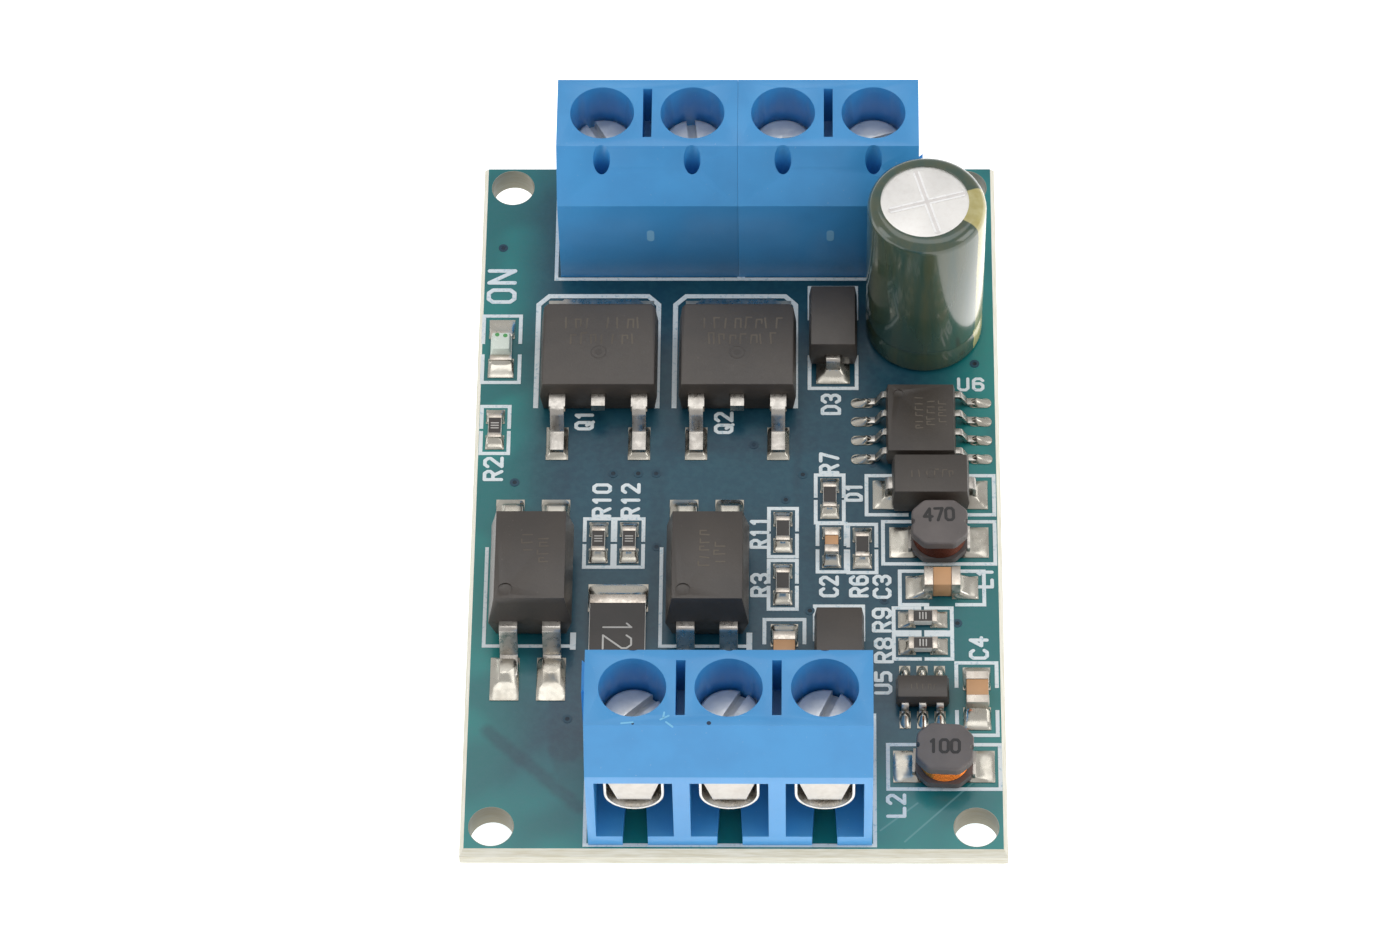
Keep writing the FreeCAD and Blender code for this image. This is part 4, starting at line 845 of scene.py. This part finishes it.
def ejector_marks(material):
    """The round mark that the mould's pin leaves on three of the packages, as a low ring."""
    bm = bmesh.new()
    for node, forward, radius in (
        ("transistor_q1_body", 0.55, 0.42), ("transistor_q2_body", 0.55, 0.42), ("diode_d1_body", 0.0, 0.3),
    ):
        low, high = box_mm(node)
        x, y = middle_of(low, high)
        ribbon(bm, circle(x, y - forward, radius, 28), 0.07, high.z - PIT_ROOT, high.z + 0.008, closed=True)
        if forward:
            disc(bm, x, y - forward, radius - 0.2, high.z - PIT_ROOT, high.z + 0.003)
    new_piece("ejector_marks", bm, material)


VIAS = [
    (-13.5, 17.1), (0.95, 3.45), (3.7, 1.44), (2.75, -0.25), (-6.9, 1.5), (-5.5, 1.5), (-4.5, 1.5),
    (7.6, 2.2), (4.1, -7.6), (-9.1, -14.6), (12.2, -8.4), (-4.4, -3.4), (13.4, 9.0), (-12.4, 0.9),
    (8.2, -6.9),
]


def vias(ring_material, pit_shade_material):
    """Small plated holes filled with mask: a low ring of mask with a near-black disc in its middle, painted
    shade of the pit.
    """
    rings, holes = bmesh.new(), bmesh.new()
    for x, y in VIAS:
        ribbon(rings, circle(x, y, VIA_RADIUS, 18), VIA_RING, TOP - PIT_ROOT, TOP + 0.016, closed=True)
        disc(holes, x, y, VIA_HOLE, TOP - PIT_ROOT, TOP + 0.008, 14, -0.006)
    new_piece("via_rings", rings, ring_material, smooth=40)
    new_piece("via_holes", holes, pit_shade_material)


def vent_ridges(material, floor_shade_material):
    """The two crossed vent grooves in the can's top: their floors, as darker strips of painted shade, and
    metal pushed up along their sides, painted near-white as a highlight.
    """
    low, high = box_mm("capacitor_can")
    middle = Vector(middle_of(low, high))
    bm, floors = bmesh.new(), bmesh.new()
    for angle, height in ((VENT_ANGLE, 0.05), (VENT_ANGLE + 90, 0.035)):
        angle = math.radians(angle)
        along = Vector((math.cos(angle), math.sin(angle)))
        side = Vector((-along.y, along.x)) * VENT_RIDGE_OFFSET
        ends = [middle - along * VENT_HALF_LENGTH, middle + along * VENT_HALF_LENGTH]
        stroke(floors, ends, VENT_FLOOR_WIDTH, high.z - VENT_ROOT, high.z + 0.004 + height / 10)
        for sign in (-1, 1):
            for reach in (-1, 1):
                start = middle + side * sign + along * reach * VENT_RIDGE_OFFSET
                end = middle + side * sign + along * reach * VENT_HALF_LENGTH
                stroke(bm, [start, end], VENT_RIDGE_WIDTH, high.z - VENT_ROOT, high.z + height)
    new_piece("vent_floors", floors, floor_shade_material)
    piece = new_piece("vent_ridges", bm, material)
    edge = piece.modifiers.new("edges", "BEVEL")
    edge.width = VENT_EDGE * MM
    edge.segments = 3
    edge.limit_method = "ANGLE"


def housing_flecks(pale, dark):
    """Shavings and pits left by a screwdriver near the front terminal's upper edge; each pit is a dark disc,
    painted shade.
    """
    low, high = box_mm("front_terminal_housing")
    edge_y = low.y + 1.47
    shavings, pits = bmesh.new(), bmesh.new()
    for x, y, turn, length in SHAVINGS:
        start = Vector((x, edge_y + y))
        end = start + Vector((math.cos(turn), math.sin(turn))) * length
        stroke(shavings, [start, end], 0.1, *film(high.z, 0.01))
    # Painted shade: each pit is a dark disc standing on the face.
    for x, y, radius in PITS:
        disc(pits, x, edge_y + y, radius, *film(high.z, 0.004), 12)
    new_piece("housing_shavings", shavings, pale)
    new_piece("housing_pits", pits, dark)


def gate_marks(material):
    """The trimmed gate of the mould, a low pale tab in the middle of each housing's inner face."""
    bm = bmesh.new()
    housings = [("front_terminal_housing", 1), ("rear_left_terminal_housing", -1),
                ("rear_right_terminal_housing", -1)]
    for node, facing in housings:
        low, high = box_mm(node)
        face_y = high.y if facing > 0 else low.y
        x = middle_of(low, high)[0]
        tab = bmesh.new()
        path = [(x * -facing, TOP + GATE_LOW), (x * -facing, TOP + GATE_HIGH)]
        stroke(tab, path, GATE_WIDTH, -PIT_ROOT, 0.012)
        turn = Matrix.Rotation(math.radians(90), 4, "X")
        if facing > 0:
            turn = Matrix.Rotation(math.radians(180), 4, "Z") @ turn
        bmesh.ops.transform(tab, matrix=Matrix.Translation((0, face_y, 0)) @ turn, verts=tab.verts)
        part = bpy.data.meshes.new("gate_tab")
        tab.to_mesh(part)
        tab.free()
        bm.from_mesh(part)
        bpy.data.meshes.remove(part)
    new_piece("gate_marks", bm, material)


def lamp_chip(material):
    """The two green spots of the lamp's chip, just above the lens's face."""
    low, high = box_mm("lamp_lens")
    x, y = middle_of(low, high)
    bm = bmesh.new()
    for dx, dy in ((-0.22, 0.42), (0.24, 0.36)):
        disc(bm, x + dx, y + dy, 0.13, high.z - PIT_ROOT, high.z + 0.004, 14)
    new_piece("lamp_chip", bm, material)


# -------------------- CAD nodes: edges and materials
def smooth_group():
    """Geometry nodes that shade smooth every edge flatter than the smooth angle."""
    group = bpy.data.node_groups.new("smooth_by_angle", "GeometryNodeTree")
    group.interface.new_socket("Geometry", in_out="INPUT", socket_type="NodeSocketGeometry")
    group.interface.new_socket("Geometry", in_out="OUTPUT", socket_type="NodeSocketGeometry")
    entry = group.nodes.new("NodeGroupInput")
    way_out = group.nodes.new("NodeGroupOutput")
    faces = group.nodes.new("GeometryNodeSetShadeSmooth")
    edges = group.nodes.new("GeometryNodeSetShadeSmooth")
    edges.domain = "EDGE"
    angle = group.nodes.new("GeometryNodeInputMeshEdgeAngle")
    compare = group.nodes.new("FunctionNodeCompare")
    compare.operation = "LESS_THAN"
    compare.inputs[1].default_value = math.radians(SMOOTH_ANGLE)
    group.links.new(entry.outputs[0], faces.inputs["Geometry"])
    group.links.new(faces.outputs[0], edges.inputs["Geometry"])
    group.links.new(angle.outputs["Unsigned Angle"], compare.inputs[0])
    group.links.new(compare.outputs[0], edges.inputs["Shade Smooth"])
    group.links.new(edges.outputs[0], way_out.inputs[0])
    return group


def dress(node, material, bevel):
    """Gives a CAD node its material, and rounds its edges by bevel millimetres unless that is None."""
    piece = NODES[node]
    piece.data.materials.clear()
    piece.data.materials.append(material)
    weld = piece.modifiers.new("weld", "WELD")
    weld.merge_threshold = WELD_REACH
    if bevel:
        edge = piece.modifiers.new("edges", "BEVEL")
        edge.width = bevel * MM
        edge.segments = BEVEL_SEGMENTS
        edge.limit_method = "ANGLE"
        edge.angle_limit = math.radians(BEVEL_ANGLE)
        edge.use_clamp_overlap = True
    smooth = piece.modifiers.new("smooth", "NODES")
    smooth.node_group = SMOOTH


SMOOTH = smooth_group()
# Metals: colour, roughness, grain, depth, tarnish, its amount, stretch, metallic share. Not all are given.
METALS = {
    "tinned_pads": ((0.46, 0.43, 0.37), 0.36, 0.3),
    "solder": ((0.62, 0.59, 0.52), 0.26, 0.7, 0.008, (0.36, 0.32, 0.26), 0.5),
    "plated_brass": ((0.66, 0.62, 0.565), 0.45, 0.3, 0.004, (0.60, 0.54, 0.47), 0.3),
    "screw_steel": ((0.90, 0.88, 0.84), 0.42, 0.25, 0.01, (0.6, 0.58, 0.56), 0.4, (0.35, 1.0, 1.0), 0.55),
    "cage_steel": ((0.74, 0.72, 0.68), 0.3, 0.25, 0.005),
    "can_aluminium": ((0.88, 0.86, 0.83), 0.38, 0.12, 0.003, (0.78, 0.74, 0.70), 0.3),
    "tinned_leads": ((0.52, 0.49, 0.45), 0.3, 0.3, 0.006, (0.36, 0.32, 0.28), 0.4),
    "enamelled_copper_dark": ((0.13, 0.045, 0.03), 0.42, 0.2, 0.004, (0.10, 0.03, 0.02), 0.5),
    "enamelled_copper": ((0.96, 0.27, 0.05), 0.22, 0.2, 0.004, (0.6, 0.15, 0.03), 0.3),
    "end_cap_tin": ((0.66, 0.60, 0.53), 0.33, 0.2, 0.008, (0.46, 0.38, 0.31), 0.5),
}
# Plastics and the like: colour, darker colour, roughness, grain, depth and the colour of dust specks.
PLASTICS = {
    "blue_nylon": ((0.050, 0.325, 0.70), (0.045, 0.290, 0.64), 0.40, 0.1, 0.006, (0.35, 0.5, 0.7)),
    "seal_rubber": ((0.02, 0.02, 0.02), (0.03, 0.03, 0.03), 0.6),
    "element_paper": ((0.5, 0.42, 0.3), (0.4, 0.34, 0.25), 0.8),
    "package_epoxy": ((0.054, 0.042, 0.033), (0.042, 0.033, 0.027), 0.38, 0.09, 0.012, (0.15, 0.12, 0.10)),
    "ferrite": ((0.150, 0.128, 0.122), (0.110, 0.096, 0.092), 0.40, 0.07, 0.015, (0.30, 0.27, 0.26)),
    "alumina": ((0.80, 0.78, 0.72), (0.72, 0.70, 0.65), 0.55, 0.06),
    "overcoat": ((0.060, 0.050, 0.045), (0.045, 0.040, 0.036), 0.35, 0.08, 0.01),
    "capacitor_ceramic": ((0.62, 0.34, 0.165), (0.53, 0.29, 0.14), 0.42, 0.06),
    "lamp_white": ((0.90, 0.90, 0.86), (0.84, 0.84, 0.78), 0.4, 0.1),
    "lamp_lens": ((0.88, 0.95, 0.85), (0.80, 0.88, 0.78), 0.2, 0.2, 0.004),
}
GLOSS = {
    "blue_nylon": {"Coat_Weight": 0.5, "Coat_Roughness": 0.28},
    "package_epoxy": {"Specular_IOR_Level": 0.7},
    "lamp_lens": {"Transmission_Weight": 0.1, "IOR": 1.5},
}
MATERIALS = {"board_laminate": paint_board(), "shrink_sleeve": paint_sleeve()}
for name, values in METALS.items():
    MATERIALS[name] = paint_metal(name, *values)
for name, values in PLASTICS.items():
    MATERIALS[name] = paint_plastic(name, *values, **GLOSS.get(name, {}))
# How much each node's edges are rounded. The first words found in the node's name count.
BEVELS = {
    "front_terminal_housing": 0.07, "_terminal_housing": 0.025, "_clamp_screw_": 0.04, "_clamp_cage_": 0.03,
    "_contacts": 0.05, "optocoupler_body": 0.09, "transistor_q1_body": 0.08, "transistor_q2_body": 0.08,
    "gate_driver_body": 0.06, "regulator_body": 0.05, "diode_d": 0.08, "capacitor_leads": None,
    "_leads": 0.03, "end_caps": 0.05, "lamp_": 0.04, "chip_resistor_bodies": 0.02,
    "power_resistor_body": 0.03, "ceramic_capacitor_bodies": 0.04, "inductor_terminals": 0.03,
}


def dress_nodes():
    """Every CAD node gets its slot's material and edges rounded for its kind."""
    for row in frame["record"]["subparts"]:
        node = row["node"]
        bevel = next((size for part, size in BEVELS.items() if part in node), None)
        dress(node, MATERIALS[row["material_slot"]], bevel)


# -------------------- stage, light and camera
FLOOR_HALF = 900


def emission_panel(name, place, target, size, power):
    """A soft white rectangular light that points at a target, both in millimetres."""
    light = bpy.data.lights.new(name, "AREA")
    light.shape = "RECTANGLE"
    light.size, light.size_y = (value * MM for value in size)
    light.energy = power
    lamp = bpy.data.objects.new(name, light)
    lamp.location = Vector(place) * MM
    aim = (Vector(target) - Vector(place)).normalized()
    lamp.rotation_mode = "QUATERNION"
    lamp.rotation_quaternion = aim.to_track_quat("-Z", "Y")
    bpy.context.scene.collection.objects.link(lamp)


def stage():
    """Plain pale floor, soft light all round and brighter panels left, right and overhead."""
    bm = bmesh.new()
    floor_z = cad_box[0].z / MM
    bmesh.ops.create_grid(bm, x_segments=1, y_segments=1, size=FLOOR_HALF)
    bmesh.ops.translate(bm, vec=(0, 0, floor_z), verts=bm.verts)
    bmesh.ops.scale(bm, vec=(MM,) * 3, verts=bm.verts)
    mesh = bpy.data.meshes.new("floor")
    bm.to_mesh(mesh)
    bm.free()
    paint = Paint("floor_white", (0.93, 0.93, 0.93), 0.9)
    paint.set(Emission_Color=(1, 1, 1, 1), Emission_Strength=0.85)
    mesh.materials.append(paint.material)
    floor = bpy.data.objects.new("floor", mesh)
    bpy.context.scene.collection.objects.link(floor)

    world = bpy.data.worlds.new("studio")
    world.use_nodes = True
    background = world.node_tree.nodes["Background"]
    background.inputs["Color"].default_value = (1.0, 1.0, 1.0, 1)
    background.inputs["Strength"].default_value = 0.60
    bpy.context.scene.world = world
    emission_panel("overhead", (10, 60, 260), (0, 0, 0), (240, 160), 0.16)
    emission_panel("right", (230, -60, 120), (0, 0, 5), (120, 160), 0.14)
    emission_panel("left", (-230, -40, 90), (0, 0, 5), (100, 160), 0.08)


CAMERA_PLACE = (4.047, -186.235, 280.28)
CAMERA_RIGHT = (0.99984, 0.01061, -0.01472)
CAMERA_UP = (-0.00055, 0.82869, 0.55971)
CAMERA_LENS = 154.58


def camera():
    """The camera that sees the board from the 3-pole end, 56 degrees above the horizon."""
    data = bpy.data.cameras.new("camera")
    data.sensor_fit = "HORIZONTAL"
    data.sensor_width = 36
    data.lens = CAMERA_LENS
    data.clip_start, data.clip_end = 0.01, 20
    eye = bpy.data.objects.new("camera", data)
    right = Vector(CAMERA_RIGHT).normalized()
    back = right.cross(Vector(CAMERA_UP)).normalized()
    up = back.cross(right)
    turn = Matrix((right, up, back)).transposed().to_4x4()
    eye.matrix_world = Matrix.Translation(Vector(CAMERA_PLACE) * MM) @ turn
    bpy.context.scene.collection.objects.link(eye)
    bpy.context.scene.camera = eye


# -------------------- the scene
dress_nodes()
solder_on_pads(MATERIALS["solder"])
print_legend(paint_silk())
value_marks(paint_plastic("value_ink", (0.02, 0.018, 0.018), (0.03, 0.028, 0.028), 0.5))
resistor_mark(paint_plastic("resistor_ink", (0.62, 0.60, 0.56), (0.5, 0.48, 0.45), 0.5))
laser_marks(paint_plastic("laser_ink", (0.135, 0.112, 0.085), (0.09, 0.075, 0.06), 0.6))
ejector_marks(MATERIALS["package_epoxy"])
# The second material is painted shade: a near-black disc in each via's pit.
vias(paint_plastic("via_mask", MASK_MIDDLE, MASK_DARK, 0.3),
     paint_plastic("via_dark", (0.004, 0.012, 0.02), MASK_DARK, 0.5))
# Painted highlight: the ridges are near-white and barely metallic. Painted shade: the groove floors are
# darker than the can.
vent_ridges(paint_metal("raised_aluminium", (1.0, 0.99, 0.98), 0.25, 1.2, 0.001, (0.94, 0.92, 0.90), 0.2,
                        metallic=0.1),
            paint_metal("vent_floor", (0.80, 0.77, 0.75), 0.38, 0.6, 0.002, (0.72, 0.68, 0.65), 0.3))
gate_marks(paint_plastic("gate_nylon", (0.22, 0.50, 0.75), (0.18, 0.45, 0.70), 0.5))
housing_flecks(paint_plastic("shaved_nylon", (0.25, 0.62, 0.88), (0.16, 0.50, 0.80), 0.6),
               paint_plastic("pit_nylon", (0.010, 0.030, 0.08), (0.02, 0.05, 0.10), 0.6))
lamp_chip(paint_plastic("lamp_green", (0.10, 0.42, 0.12), (0.08, 0.34, 0.10), 0.3))
stage()
camera()
bpy.context.scene.view_settings.view_transform = "Standard"
